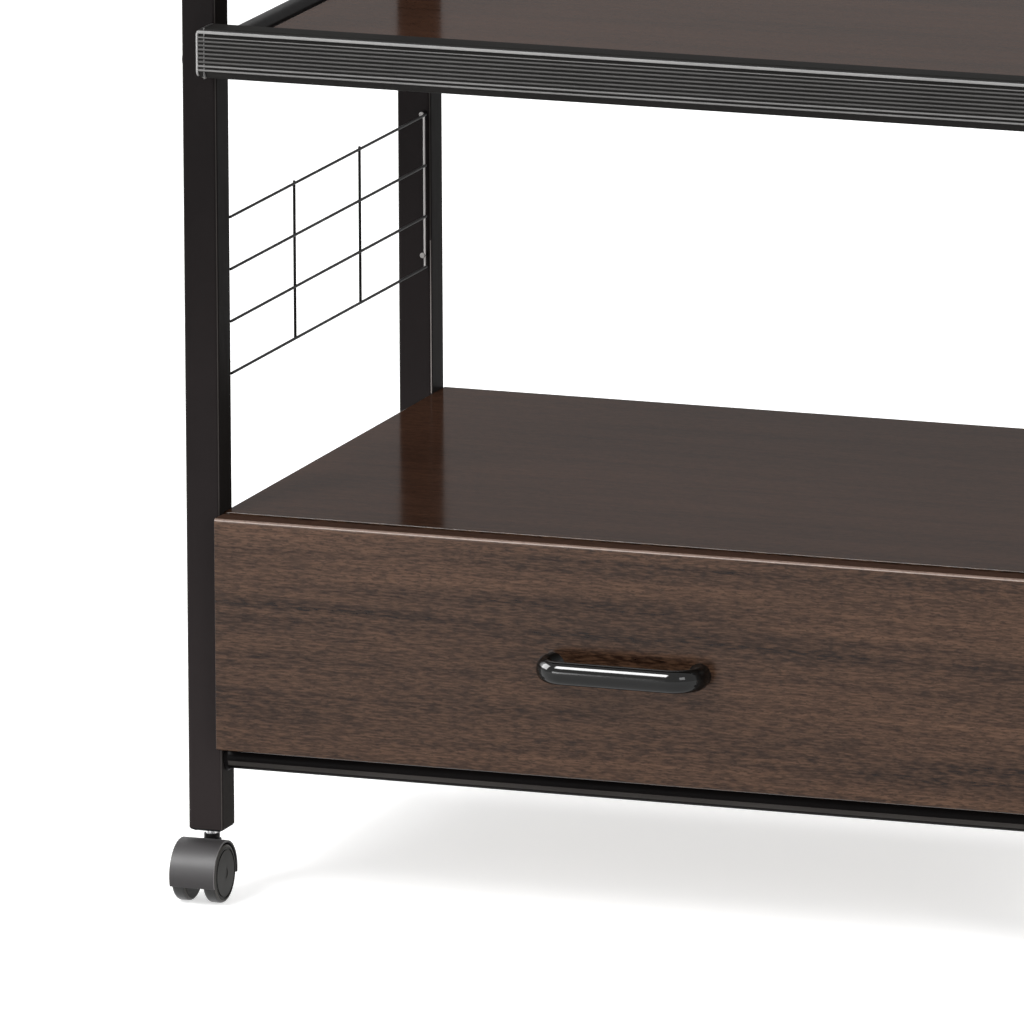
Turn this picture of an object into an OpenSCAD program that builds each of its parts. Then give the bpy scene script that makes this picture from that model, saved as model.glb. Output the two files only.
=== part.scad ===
// Kitchen cart: four tube posts, two shelves with grooved front mouldings,
// wire side grids, a cabinet with one drawer, and four twin-wheel casters.

/* [Frame] */
// Width across the outside of the posts
cart_w = 650; // [600:1:760]
// Depth across the outside of the posts
cart_d = 440; // [400:1:500]
// Height over the post caps
cart_h = 1040; // [1020:1:1120]
// Side of the square post tube
post = 25; // [22:0.5:30]
// Wall of the post tube
post_wall = 1.2; // [1:0.1:2]
// Outside corner radius of the post tube
post_r = 2.4; // [2.2:0.1:3.5]
// Height of the lower ends of the posts
post_z = 49.5; // [49:0.5:56]
// Height of the post cap above the tube
cap_t = 3; // [2:0.5:5]
// Step around the top of the post cap
cap_step = 1; // [0.5:0.25:1.5]
// Depth of the caps and plugs inside the tube
plug_in = 18; // [12:1:24]
// Side clearance of the caps and plugs in the tube
plug_fit = 0.1; // [0.05:0.05:0.2]
// Thickness of the foot plug flange under the tube
plug_t = 1; // [1:0.25:2]
// Setback of the foot plug flange from the tube's faces
plug_edge = 0.5; // [0.25:0.25:1]

/* [Cross tubes] */
// Diameter of the round cross tubes
rail_d = 16; // [12:0.5:19]
// Wall of the round cross tubes
rail_wall = 1.2; // [1:0.1:2]
// Height of the bottom tubes' centre line
rail_z = 99; // [92:0.5:99]
// Rise of a side tube's crown above its shelf board
rail_up = 5.5; // [3:0.5:8]
// Free height between a rear tube and the board above it
rail_gap = 4; // [3:0.5:10]

/* [Shelves] */
// Height of the middle shelf's top face
mid_z = 590; // [560:1:620]
// Distance of the top shelf's top face below the post caps' tops
top_drop = 40; // [38:1:80]
// Thickness of the shelf boards
board_t = 12; // [11:0.5:16]
// Gap between a board's end and the posts
board_gap = 0.5; // [0.2:0.1:1]
// Length of a board's tongue inside its moulding
tongue = 9; // [6:0.5:10]
// Drop of the tongue below the board's top face
tongue_drop = 3; // [2:0.5:4]
// Clearance over the tongue in the moulding slot
tongue_fit = 0.2; // [0.1:0.05:0.4]

/* [Mouldings] */
// Height of the moulding
mould_h = 35; // [34:0.5:40]
// Depth of the moulding in front of the posts
mould_d = 19; // [17:0.5:22]
// Part of the moulding that hangs below the board
mould_drop = 1; // [0.5:0.5:3]
// Length of the moulding over each post's front face
mould_lap = 7; // [6:0.5:12]
// Radius of the bead along the top
bead_r = 2.6; // [2.2:0.1:3]
// Number of fine ridges
ridge_n = 9; // [7:1:9]
// Pitch of the fine ridges
ridge_pitch = 2.85; // [2.6:0.05:2.9]
// Depth of the grooves between the ridges
ridge_d = 1.2; // [0.8:0.1:1.6]
// Radius of the ridges
ridge_r = 1.1; // [0.8:0.05:1.15]
// Radius of the cove under the bead
cove_r = 0.9; // [0.7:0.1:1.1]
// Flat band between the lowest ridge and the plain lip
ridge_land = 0.3; // [0.2:0.1:1]
// Setback of the plain lip
lip_in = 3; // [2:0.5:5]
// Thickness of the end caps
end_t = 6; // [4:0.5:6]
// Corner radius of the end caps
end_r = 5; // [3:0.5:5.5]

/* [Bolts and screws] */
// Thread diameter of the shelf bolts
bolt_d = 5; // [4:0.5:6]
// Head diameter of the shelf bolts
bolt_head = 10; // [8:0.5:12]
// Head height of the shelf bolts
bolt_t = 3; // [2:0.5:3.5]
// Step around the head of the shelf bolts
bolt_step = 1; // [0.5:0.25:1.5]
// Reach of a shelf bolt into the board's end
bolt_in = 22; // [16:1:30]
// Thread diameter of the screws
screw_d = 4; // [3:0.5:5]
// Head diameter of the cabinet screws
head_d = 7; // [6:0.5:8]
// Head height of the screws
head_t = 2.2; // [1.5:0.1:2.5]
// Length of the cabinet screws behind the head
screw_l = 18; // [16:1:19]
// Distance of the cabinet screws from the panels' ends
screw_in = 14; // [10:1:20]

/* [Wire grids] */
// Wire diameter
wire_d = 2; // [1.8:0.1:3]
// Height of the lowest long wire
grid_z = 363.5; // [340:0.5:390]
// Pitch of the long wires
grid_pitch = 36.3; // [30:0.1:42]
// Number of long wires
grid_n = 4; // [3:1:5]
// Number of upright wires, ends counted
upright_n = 4; // [3:1:6]
// Setback of the grid from the posts' inner faces
grid_in = 3; // [2:0.5:4]
// Share of a wire that sinks into the crossing wire
weld = 0.2; // [0.15:0.05:0.3]
// Reach of the uprights past the outer long wires' centre lines
upright_out = 1.4; // [1.3:0.1:2]
// Gap between the end uprights and the posts
grid_end = 3; // [2:0.5:5]
// Diameter of the pegs that hold a grid in the posts
peg_d = 4; // [3:0.5:5]
// Height of the lower pegs above the lowest long wire
peg_z = 8; // [6:0.5:12]
// Reach of the pegs inside the post tube
peg_in = 3; // [2:0.5:5]
// Reach of the pegs past the end uprights
peg_out = 0.6; // [0.4:0.1:1]

/* [Cabinet] */
// Height of the cabinet's top face
cab_z = 271.5; // [260:0.5:290]
// Thickness of the cabinet panels
panel_t = 12; // [10:0.5:14]
// Thickness of the cabinet top
cab_top_t = 15; // [12:0.5:18]
// Setback of the cabinet behind the posts' front faces
cab_in = 8; // [7:0.5:10]
// Thickness of the cabinet back
back_t = 4; // [3:0.5:6]
// Free height between the bottom tubes and the cabinet sides
cab_gap = 4; // [3:0.5:8]

/* [Drawer] */
// Reach of the drawer front in front of the posts
front_proud = 15; // [12:0.5:16]
// Thickness of the drawer front
front_t = 18; // [16:0.5:20]
// Edge radius of the drawer front
front_r = 2.5; // [1.5:0.5:4]
// Gap between the drawer front and the posts
front_gap = 1.5; // [1:0.25:3]
// Gap between the drawer front and the bottom tube
front_lift = 2; // [1.5:0.5:4]
// Depth of the drawer box behind its front
box_d = 370; // [320:1:370]
// Height of the drawer box
box_h = 112; // [90:1:116]
// Thickness of the drawer sides and back
box_t = 12; // [10:0.5:14]
// Thickness of the drawer bottom
bottom_t = 5; // [4:0.5:6]
// Depth of the bottom's groove in the sides
groove = 5; // [4:0.5:6]
// Height of the groove above the lower edges
groove_z = 8; // [6:0.5:12]
// Clearance of the bottom in its groove
groove_fit = 0.1; // [0.05:0.05:0.2]
// Height of the box above the cabinet's lower edge
box_up = 10; // [8:0.5:14]

/* [Runners] */
// Room for a runner on each side of the drawer box
runner_w = 12.5; // [12:0.5:14]
// Height of the fixed runner
runner_h = 36; // [32:1:40]
// Sheet of the runners
runner_t = 1.5; // [1.2:0.1:2]
// Running clearance of the runners
runner_fit = 0.4; // [0.3:0.05:0.6]
// Depth of the fixed runner's lips
runner_lip = 4; // [3:0.5:5]
// Shortfall of the runners' length against the drawer box
runner_short = 10; // [10:1:40]
// Setback of the fixed runners behind the drawer front
runner_in = 8; // [6:0.5:10]
// Gap between a fixed runner and the drawer side
runner_side = 1.5; // [1:0.1:2]
// Height of the runners' middle above the box's lower edge
runner_z = 56; // [45:1:60]

/* [Handle] */
// Length of the handle over its feet
handle_l = 122; // [110:1:160]
// Reach of the handle from the drawer front
handle_out = 30; // [28:0.5:36]
// Depth of the bar's section
grip_d = 11; // [10.9:0.1:12]
// Height of the bar's section
grip_h = 16; // [13:0.5:18]
// Corner radius of the bar's section
grip_r = 5; // [3:0.1:5.4]
// Outside radius of the bends
bend_r = 23; // [18:0.5:26]
// Depth of the screw holes in the feet
foot_bore = 10; // [6:0.5:12]
// Head diameter of the handle screws
handle_head = 8; // [7:0.5:9]
// Height of the handle above the drawer front's lower edge
handle_z = 79; // [60:1:95]

/* [Casters] */
// Wheel radius
wheel_r = 20.5; // [19:0.5:21]
// Width of one wheel
wheel_w = 10; // [8:0.5:11]
// Rounding of the tread
tread_r = 2.5; // [1.5:0.5:3]
// Thickness of a wheel's outer face over the axle
face_t = 1.5; // [1.2:0.1:2]
// Depth of the ring groove in a wheel's outer face
ring_d = 0.8; // [0.5:0.1:1]
// Width of the ring groove
ring_w = 1.2; // [0.8:0.1:1.5]
// Inside radius of the ring groove
ring_r = 16.2; // [14:0.2:16.4]
// Radius of the hub inside a wheel
hub_r = 8.6; // [8:0.2:9]
// Thickness of the tread's wall inside a wheel
tread_t = 4.1; // [3.5:0.1:5]
// Depth of the recess inside a wheel
recess = 6; // [4:0.5:6.5]
// Width of the middle web of the hood
web_w = 12; // [12:0.5:13]
// Setback of the web's rim from the hood
web_in = 2; // [1:0.5:4]
// Reach of the stem's boss below the axle
boss_low = 6; // [4:0.5:8]
// Rise of the hood's crown above the boss
crown = 3; // [2:0.1:3.2]
// Gap between a wheel and the web
wheel_gap = 0.5; // [0.4:0.1:0.8]
// Gap between the tread and the hood
hood_gap = 0.9; // [0.8:0.1:1.1]
// Thickness of the hood
hood_t = 1.5; // [1.2:0.1:1.6]
// Height of the hood's lower edge
hood_z = 13.5; // [8:0.5:14]
// Height of the hood's rear edge above the axle
hood_rise = 4; // [2:0.5:8]
// Trail of the wheels from the swivel stem
trail = 17; // [15:0.5:18]
// Diameter of the axle
axle_d = 6; // [5:0.5:7]
// Running clearance of a wheel on its axle
axle_fit = 0.05; // [0.02:0.01:0.1]
// Diameter of the swivel stem
stem_d = 8; // [7:0.5:8]
// Running clearance of the stem in the hood
stem_fit = 0.05; // [0.02:0.01:0.1]
// Diameter of the stem's collar
collar_d = 11; // [10:0.5:11.5]
// Gap under the collar
collar_gap = 0.3; // [0.3:0.1:0.5]
// Diameter of the stem's shoulder above the collar
shoulder_d = 9.5; // [9:0.25:10]
// Height of the stem's shoulder
shoulder_t = 2; // [1:0.25:3]
// Depth of the stem's socket in the hood
socket = 22; // [18:1:24]
// Gap under the stem's end
socket_gap = 1; // [0.5:0.1:2]
// Length of the stem inside the foot plug
stem_in = 14; // [10:1:15]

/* [Hidden] */
$fn = 48;
e = 0.5;
xo = cart_w/2;
xi = xo - post;
xc = xo - post/2;
yf = -(cart_d + front_proud + handle_out)/2 + front_proud + handle_out;
yb = yf + cart_d;
ym = (yf + yb)/2;
yc = cart_d/2 - post/2;
post_top = cart_h - cap_t;
top_z = cart_h - top_drop;
tube_in = post - 2*post_wall;
side_l = cart_d - 2*post;
grid_h = (grid_n - 1)*grid_pitch;
grid_x = xi + grid_in - wire_d/2;
up_x = grid_x + wire_d*(1 - weld);
up_y0 = grid_end + wire_d/2;
peg_x = up_x + wire_d/2;
cab_low = rail_z + rail_d/2 + cab_gap;
cab_in_w = 2*(xi - panel_t);
cab_front = yf + cab_in;
front_y = yf - front_proud;
front_low = rail_z + rail_d/2 + front_lift;
front_h = cab_z - front_low;
box_y = front_y + front_t;
box_x = xi - panel_t - runner_w;
box_z = cab_low + box_up;
bottom_z = box_z + groove_z;
run_z = box_z + runner_z;
runner_d = runner_w - runner_side;
runner_l = box_d - runner_short;
foot_x = (handle_l - grip_d)/2;
bend_x = handle_l/2 - bend_r;
bend_y = handle_out - bend_r;
axle_z = wheel_r;
hood_ri = wheel_r + hood_gap;
hood_ro = hood_ri + hood_t;
hood_w = web_w + 2*(wheel_gap + wheel_w);
boss_z = axle_z + hood_ro - crown;
plug_z = post_z - plug_t;
axle_l = web_w + 2*(wheel_gap + wheel_w - face_t - collar_gap);

// Rounded rectangle
module rrect(a, b, r) {
    square([a - 2*r, b], center = true);
    square([a, b - 2*r], center = true);
    for (sx = [-1, 1], sy = [-1, 1])
        translate([sx*(a/2 - r), sy*(b/2 - r)]) circle(r);
}

// Square post tube outline
module tube_outline(s) {
    rrect(s, s, post_r);
}

// Cylinder from a point along x
module rod_x(d, l) {
    rotate([0, 90, 0]) cylinder(d = d, h = l);
}

// Cylinder from a point along y
module rod_y(d, l) {
    rotate([-90, 0, 0]) cylinder(d = d, h = l);
}

// Repeat a right front piece at all four corners of the frame
module corners() {
    for (sx = [0, 1], sy = [0, 1])
        corner(sx, sy) children();
}

// Bring a right front piece to one corner: sx 1 is left, sy 1 is rear
module corner(sx, sy) {
    translate([0, ym, 0]) mirror([0, sy, 0]) mirror([sx, 0, 0]) children();
}

// Shelf bolt height at a post
function bolt_z(z) = z - board_t/2;

// Cabinet screw heights at a post
function cab_screw(k) = k == 0 ? cab_low + screw_in : cab_z - cab_top_t - screw_in;

// Peg heights of a grid
function peg_at(k) = k == 0 ? grid_z + peg_z : grid_z + grid_h;

// One post with its holes, right front
module post_rf() {
    difference() {
        translate([xc, -yc, post_z]) linear_extrude(post_top - post_z) difference() {
            tube_outline(post);
            rrect(tube_in, tube_in, post_r - post_wall);
        }
        for (z = [mid_z, top_z])
            translate([xi - e, -yc, bolt_z(z)]) rod_x(bolt_d, post + 2*e);
        for (k = [0, 1])
            translate([xi - e, -yc, cab_screw(k)]) rod_x(screw_d, post_wall + 2*e);
        for (k = [0, 1])
            translate([peg_x, -side_l/2 - post_wall - e, peg_at(k)]) rod_y(peg_d, post_wall + 2*e);
    }
}

// Posts
module post_fl() {
    color("#26221f") corner(1, 0) post_rf();
}
module post_fr() {
    color("#26221f") corner(0, 0) post_rf();
}
module post_rl() {
    color("#26221f") corner(1, 1) post_rf();
}
module post_rr() {
    color("#26221f") corner(0, 1) post_rf();
}

// Caps in the tops of the posts
module post_caps() {
    color("#1a1918") corners() translate([xc, -yc, post_top]) {
        linear_extrude(cap_t - cap_step) tube_outline(post);
        translate([0, 0, cap_t - cap_step]) linear_extrude(cap_step)
            rrect(post - 2*cap_step, post - 2*cap_step, post_r - cap_step);
        translate([0, 0, -plug_in]) linear_extrude(plug_in)
            rrect(tube_in - 2*plug_fit, tube_in - 2*plug_fit, post_r - post_wall);
    }
}

// Plugs in the feet of the posts, bored for the caster stems
module foot_plugs() {
    color("#1a1918") corners() translate([xc, -yc, 0]) difference() {
        union() {
            translate([0, 0, plug_z]) linear_extrude(plug_t)
                rrect(post - 2*plug_edge, post - 2*plug_edge, post_r);
            translate([0, 0, post_z]) linear_extrude(plug_in)
                rrect(tube_in - 2*plug_fit, tube_in - 2*plug_fit, post_r - post_wall);
        }
        translate([0, 0, plug_z - e]) cylinder(d = stem_d, h = stem_in + e);
    }
}

// Round tube along x between two posts
module tube_x(y, z) {
    translate([-xi, y, z]) difference() {
        rod_x(rail_d, 2*xi);
        translate([-e, 0, 0]) rod_x(rail_d - 2*rail_wall, 2*xi + 2*e);
    }
}

// Round tube along y between two posts
module tube_y(x, z) {
    translate([x, yf + post, z]) difference() {
        rod_y(rail_d, side_l);
        translate([0, -e, 0]) rod_y(rail_d - 2*rail_wall, side_l + 2*e);
    }
}

// Bottom tubes
module rail_front() {
    color("#26221f") tube_x(yf + post/2, rail_z);
}
module rail_rear() {
    color("#26221f") tube_x(yb - post/2, rail_z);
}
module rail_left() {
    color("#26221f") tube_y(-xc, rail_z);
}
module rail_right() {
    color("#26221f") tube_y(xc, rail_z);
}

// Side and rear tubes at the shelves
module mid_tube_left() {
    color("#26221f") tube_y(-xc, mid_z + rail_up - rail_d/2);
}
module mid_tube_right() {
    color("#26221f") tube_y(xc, mid_z + rail_up - rail_d/2);
}
module mid_tube_rear() {
    color("#26221f") tube_x(yb - post/2, mid_z - board_t - rail_gap - rail_d/2);
}
module top_tube_left() {
    color("#26221f") tube_y(-xc, top_z + rail_up - rail_d/2);
}
module top_tube_right() {
    color("#26221f") tube_y(xc, top_z + rail_up - rail_d/2);
}
module top_tube_rear() {
    color("#26221f") tube_x(yb - post/2, top_z - board_t - rail_gap - rail_d/2);
}

// Bolts through the posts into the ends of the shelf boards
module shelf_bolts() {
    color("#3b3937") corners() for (z = [mid_z, top_z])
        translate([xo, -yc, bolt_z(z)]) {
            translate([board_gap - bolt_in - post, 0, 0]) rod_x(bolt_d, bolt_in + post);
            rod_x(bolt_head, bolt_t - bolt_step);
            translate([bolt_t - bolt_step, 0, 0]) rod_x(bolt_head - 3*bolt_step, bolt_step);
        }
}

// One pan head screw that points along +x, head face at the origin
module screw_x(head, len) {
    rod_x(screw_d, len);
    translate([-head_t, 0, 0]) rod_x(head, head_t);
}

// Screws of the cabinet sides
module frame_screws() {
    color("#5a5856") corners() for (k = [0, 1])
        translate([xi - panel_t, -yc, cab_screw(k)]) screw_x(head_d, screw_l);
}

// Welded wire grid on the right side, its pegs in the posts
module grid_r() {
    y0 = -side_l/2 + up_y0;
    span = side_l - 2*up_y0;
    for (i = [0 : grid_n - 1])
        translate([grid_x, y0, grid_z + i*grid_pitch]) rod_y(wire_d, span);
    for (i = [0 : upright_n - 1])
        translate([up_x, y0 + i*span/(upright_n - 1), grid_z - upright_out])
            cylinder(d = wire_d, h = grid_h + 2*upright_out);
    for (sy = [0, 1], k = [0, 1]) mirror([0, sy, 0])
        translate([peg_x, -side_l/2 - post_wall - peg_in, peg_at(k)])
            rod_y(peg_d, post_wall + peg_in + grid_end + wire_d + peg_out);
}
module grid_left() {
    color("#3a3735") translate([0, ym, 0]) mirror([1, 0, 0]) grid_r();
}
module grid_right() {
    color("#3a3735") translate([0, ym, 0]) grid_r();
}

// Shelf board between the posts, its tongue in the moulding
module board(z) {
    w = 2*(xi - board_gap);
    difference() {
        union() {
            translate([-w/2, yf, z - board_t]) cube([w, cart_d, board_t]);
            translate([-w/2, yf - tongue, z - board_t]) cube([w, tongue + e, board_t - tongue_drop]);
        }
        corners() translate([w/2 - bolt_in, -yc, bolt_z(z)]) rod_x(bolt_d, bolt_in + e);
    }
}
module mid_board() {
    color("#5a473c") board(mid_z);
}
module top_board() {
    color("#5a473c") board(top_z);
}

// Moulding section: x is the depth from the post faces, y the height from the lower edge
module mould_section() {
    face = mould_d - ridge_d;
    ridge_top = mould_h - 2*bead_r - ridge_d;
    lip_h = ridge_top - (ridge_n - 1)*ridge_pitch - ridge_r - ridge_land;
    difference() {
        union() {
            square([face - lip_in, mould_h]);
            translate([0, lip_h]) square([face, mould_h - lip_h - bead_r]);
            translate([0, mould_h - 2*bead_r]) square([mould_d - bead_r, 2*bead_r]);
            translate([mould_d - bead_r, mould_h - bead_r]) circle(bead_r, $fn = 32);
            for (i = [0 : ridge_n - 1])
                translate([face, ridge_top - i*ridge_pitch]) circle(ridge_r, $fn = 24);
        }
        translate([face, mould_h - 2*bead_r + ridge_d/2]) circle(cove_r, $fn = 24);
    }
}

// Stand a section up along x, its depth towards the front
module along_x(x0, l, z) {
    translate([x0, yf, z]) rotate([90, 0, 90]) linear_extrude(l) mirror([1, 0]) children();
}

// Moulding with the slot for the board
module moulding(z) {
    l = xi + mould_lap - end_t;
    w = 2*(xi - board_gap);
    difference() {
        along_x(-l, 2*l, z - board_t - mould_drop) mould_section();
        translate([-w/2 - tongue_fit, yf - tongue - tongue_fit, z - board_t])
            cube([w + 2*tongue_fit, tongue + tongue_fit + e, board_t - tongue_drop + tongue_fit]);
    }
}
module mid_moulding() {
    color("#4a4846") moulding(mid_z);
}
module top_moulding() {
    color("#4a4846") moulding(top_z);
}

// Caps on the two ends of a moulding
module end_caps(z) {
    low = z - board_t - mould_drop;
    l = xi + mould_lap;
    intersection() {
        union() {
            along_x(-l, end_t, low) mould_section();
            along_x(l - end_t, end_t, low) mould_section();
        }
        translate([0, yf + e, low + mould_h/2]) rotate([90, 0, 0])
            linear_extrude(mould_d + 2*e) rrect(2*l, mould_h, end_r);
    }
}
module mid_end_caps() {
    color("#2a2927") end_caps(mid_z);
}
module top_end_caps() {
    color("#2a2927") end_caps(top_z);
}

// Cabinet panels
module cabinet_top() {
    color("#5a473c") translate([-xi, cab_front, cab_z - cab_top_t])
        cube([2*xi, yb - cab_front, cab_top_t]);
}
module cab_side() {
    h = cab_z - cab_top_t - cab_low;
    difference() {
        translate([xi - panel_t, cab_front, cab_low]) cube([panel_t, yb - cab_front, h]);
        for (y = [yf + post/2, yb - post/2], k = [0, 1])
            translate([xi - panel_t - e, y, cab_screw(k)]) rod_x(screw_d, panel_t + 2*e);
    }
}
module cabinet_left() {
    color("#54423a") mirror([1, 0, 0]) cab_side();
}
module cabinet_right() {
    color("#54423a") cab_side();
}
module cabinet_back() {
    color("#4d3e36") translate([-cab_in_w/2, yb - back_t, cab_low])
        cube([cab_in_w, back_t, cab_z - cab_top_t - cab_low]);
}

// Fixed runner: a channel that opens towards the drawer
module runner() {
    translate([xi - panel_t, box_y + runner_in + runner_l, run_z]) rotate([90, 0, 0])
        linear_extrude(runner_l) {
            translate([-runner_t, -runner_h/2]) square([runner_t, runner_h]);
            for (s = [0, 1]) mirror([0, s]) {
                translate([-runner_d, runner_h/2 - runner_t]) square([runner_d, runner_t]);
                translate([-runner_d, runner_h/2 - runner_lip]) square([runner_t, runner_lip]);
            }
        }
}
module runner_left() {
    color("#8a8886") mirror([1, 0, 0]) runner();
}
module runner_right() {
    color("#8a8886") runner();
}

// Moving runner: a bar in the channel with a neck to the drawer side
module slide() {
    bar = runner_d - 2*runner_t - 2*runner_fit;
    h = runner_h - 2*runner_t - 2*runner_fit;
    neck = runner_h - 2*runner_lip - 2*runner_fit;
    translate([xi - panel_t, box_y + runner_l, run_z]) rotate([90, 0, 0])
        linear_extrude(runner_l) {
            translate([-runner_t - runner_fit - bar, -h/2]) square([bar, h]);
            translate([-runner_w, -neck/2]) square([runner_w - runner_t - runner_fit - bar/2, neck]);
        }
}
module slide_left() {
    color("#9a9896") mirror([1, 0, 0]) slide();
}
module slide_right() {
    color("#9a9896") slide();
}

// Drawer front with rounded edges
module drawer_front() {
    w = 2*(xi - front_gap);
    color("#55443b") difference() {
        translate([-w/2, front_y + front_t/2, front_low + front_h/2])
            rotate([90, 0, 90]) linear_extrude(w) rrect(front_t, front_h, front_r);
        for (s = [-1, 1])
            translate([s*foot_x, front_y - e, front_low + handle_z]) rod_y(screw_d, front_t + 2*e);
    }
}

// Drawer side with the groove for the bottom
module box_side() {
    difference() {
        translate([box_x - box_t, box_y, box_z]) cube([box_t, box_d, box_h]);
        translate([box_x - box_t - e, box_y - e, bottom_z - groove_fit])
            cube([groove + e, box_d + 2*e, bottom_t + 2*groove_fit]);
    }
}
module drawer_left() {
    color("#6b6560") mirror([1, 0, 0]) box_side();
}
module drawer_right() {
    color("#6b6560") box_side();
}
module drawer_back() {
    z = bottom_z + bottom_t;
    w = 2*(box_x - box_t);
    color("#6b6560") translate([-w/2, box_y + box_d - box_t, z])
        cube([w, box_t, box_z + box_h - z]);
}
module drawer_bottom() {
    w = 2*(box_x - box_t + groove - groove_fit);
    color("#7a746e") translate([-w/2, box_y, bottom_z]) cube([w, box_d, bottom_t]);
}

// Section of the handle's bar
module grip_section() {
    rrect(grip_d, grip_h, grip_r);
}

// Handle: one round-edged bar, bent back to a foot at each end and drilled for its screws
module handle() {
    color("#141414") translate([0, front_y, front_low + handle_z]) difference() {
        union() {
            translate([-bend_x, grip_d/2 - handle_out, 0]) rotate([90, 0, 90])
                linear_extrude(2*bend_x) grip_section();
            for (s = [0, 1]) mirror([s, 0, 0]) {
                translate([bend_x, -bend_y, 0]) rotate([0, 0, -90]) rotate_extrude(angle = 90, $fn = 96)
                    translate([bend_r - grip_d/2, 0]) grip_section();
                translate([foot_x, 0, 0]) rotate([90, 0, 0]) linear_extrude(bend_y) grip_section();
            }
        }
        for (s = [-1, 1])
            translate([s*foot_x, -foot_bore, 0]) rod_y(screw_d, foot_bore + e);
    }
}

// Screws from the back of the drawer front into the handle
module handle_screws() {
    color("#8a8886") for (s = [-1, 1])
        translate([s*foot_x, front_y + front_t, front_low + handle_z])
            rotate([0, 0, -90]) screw_x(handle_head, front_t + foot_bore);
}

// Caster stems with collars, set in the foot plugs
module caster_stems() {
    color("#2b2a2b") corners() translate([xc, -yc, 0]) {
        translate([0, 0, boss_z - socket + socket_gap])
            cylinder(d = stem_d, h = plug_z + stem_in - boss_z + socket - socket_gap);
        translate([0, 0, boss_z + collar_gap])
            cylinder(d = collar_d, h = plug_z - shoulder_t - boss_z - collar_gap);
        translate([0, 0, plug_z - shoulder_t]) cylinder(d = shoulder_d, h = shoulder_t);
    }
}

// Bring a caster piece under one post, the wheels towards the front
module under(sx, sy) {
    translate([sx*xc, ym + sy*yc, 0]) children();
}

// Region below the hood, in its sections: x is the trail direction, y the height
module below_hood() {
    translate([-2*hood_ro, hood_z - axle_z - 2*hood_ro]) square([4*hood_ro, 2*hood_ro]);
}

// Section of the hood's middle web
module web_section() {
    difference() {
        union() {
            circle(hood_ri - web_in);
            intersection() {
                circle(hood_ro);
                translate([-2*hood_ro, -hood_ro]) square([2*hood_ro, 2*hood_ro]);
            }
            translate([0, -boss_low]) square([trail + web_w/2, boss_z - axle_z + boss_low]);
        }
        circle(d = axle_d);
        below_hood();
    }
}

// Section of the hood's shell
module shell_section() {
    difference() {
        circle(hood_ro, $fn = 96);
        circle(hood_ri, $fn = 96);
        below_hood();
        translate([0, -2*hood_ro]) square([2*hood_ro, 2*hood_ro + hood_rise]);
    }
}

// Hood: shell over both treads, web between the wheels, socket for the stem
module hood() {
    difference() {
        translate([0, -trail, axle_z]) rotate([90, 0, 90]) {
            translate([0, 0, -web_w/2]) linear_extrude(web_w) web_section();
            translate([0, 0, -hood_w/2]) linear_extrude(hood_w) shell_section();
        }
        translate([0, 0, boss_z - socket]) cylinder(d = stem_d + 2*stem_fit, h = socket + e);
    }
}
module hood_fl() {
    color("#5d5a5b") under(-1, -1) hood();
}
module hood_fr() {
    color("#5d5a5b") under(1, -1) hood();
}
module hood_rl() {
    color("#5d5a5b") under(-1, 1) hood();
}
module hood_rr() {
    color("#5d5a5b") under(1, 1) hood();
}

// Axle pressed through the web
module axle() {
    translate([-axle_l/2, -trail, axle_z]) rod_x(axle_d, axle_l);
}
module axle_fl() {
    color("#8c8a8c") under(-1, -1) axle();
}
module axle_fr() {
    color("#8c8a8c") under(1, -1) axle();
}
module axle_rl() {
    color("#8c8a8c") under(-1, 1) axle();
}
module axle_rr() {
    color("#8c8a8c") under(1, 1) axle();
}

// Wheel section: x is the radius, y the width from the web outwards
module wheel_section() {
    difference() {
        union() {
            square([wheel_r - tread_r, wheel_w]);
            translate([0, tread_r]) square([wheel_r, wheel_w - 2*tread_r]);
            for (y = [tread_r, wheel_w - tread_r])
                translate([wheel_r - tread_r, y]) circle(tread_r, $fn = 32);
        }
        translate([-e, -e]) square([axle_d/2 + axle_fit + e, wheel_w - face_t + e]);
        translate([hub_r, -e]) square([wheel_r - tread_t - hub_r, recess + e]);
        translate([ring_r, wheel_w - ring_d]) square([ring_w, ring_d + e]);
    }
}

// One wheel on the right of its web
module wheel() {
    translate([web_w/2 + wheel_gap, -trail, axle_z]) rotate([0, 90, 0])
        rotate_extrude($fn = 96) wheel_section();
}
module wheel_l() {
    mirror([1, 0, 0]) wheel();
}
module wheel_fl_l() {
    color("#3b3a39") under(-1, -1) wheel_l();
}
module wheel_fl_r() {
    color("#3b3a39") under(-1, -1) wheel();
}
module wheel_fr_l() {
    color("#3b3a39") under(1, -1) wheel_l();
}
module wheel_fr_r() {
    color("#3b3a39") under(1, -1) wheel();
}
module wheel_rl_l() {
    color("#3b3a39") under(-1, 1) wheel_l();
}
module wheel_rl_r() {
    color("#3b3a39") under(-1, 1) wheel();
}
module wheel_rr_l() {
    color("#3b3a39") under(1, 1) wheel_l();
}
module wheel_rr_r() {
    color("#3b3a39") under(1, 1) wheel();
}

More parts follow.
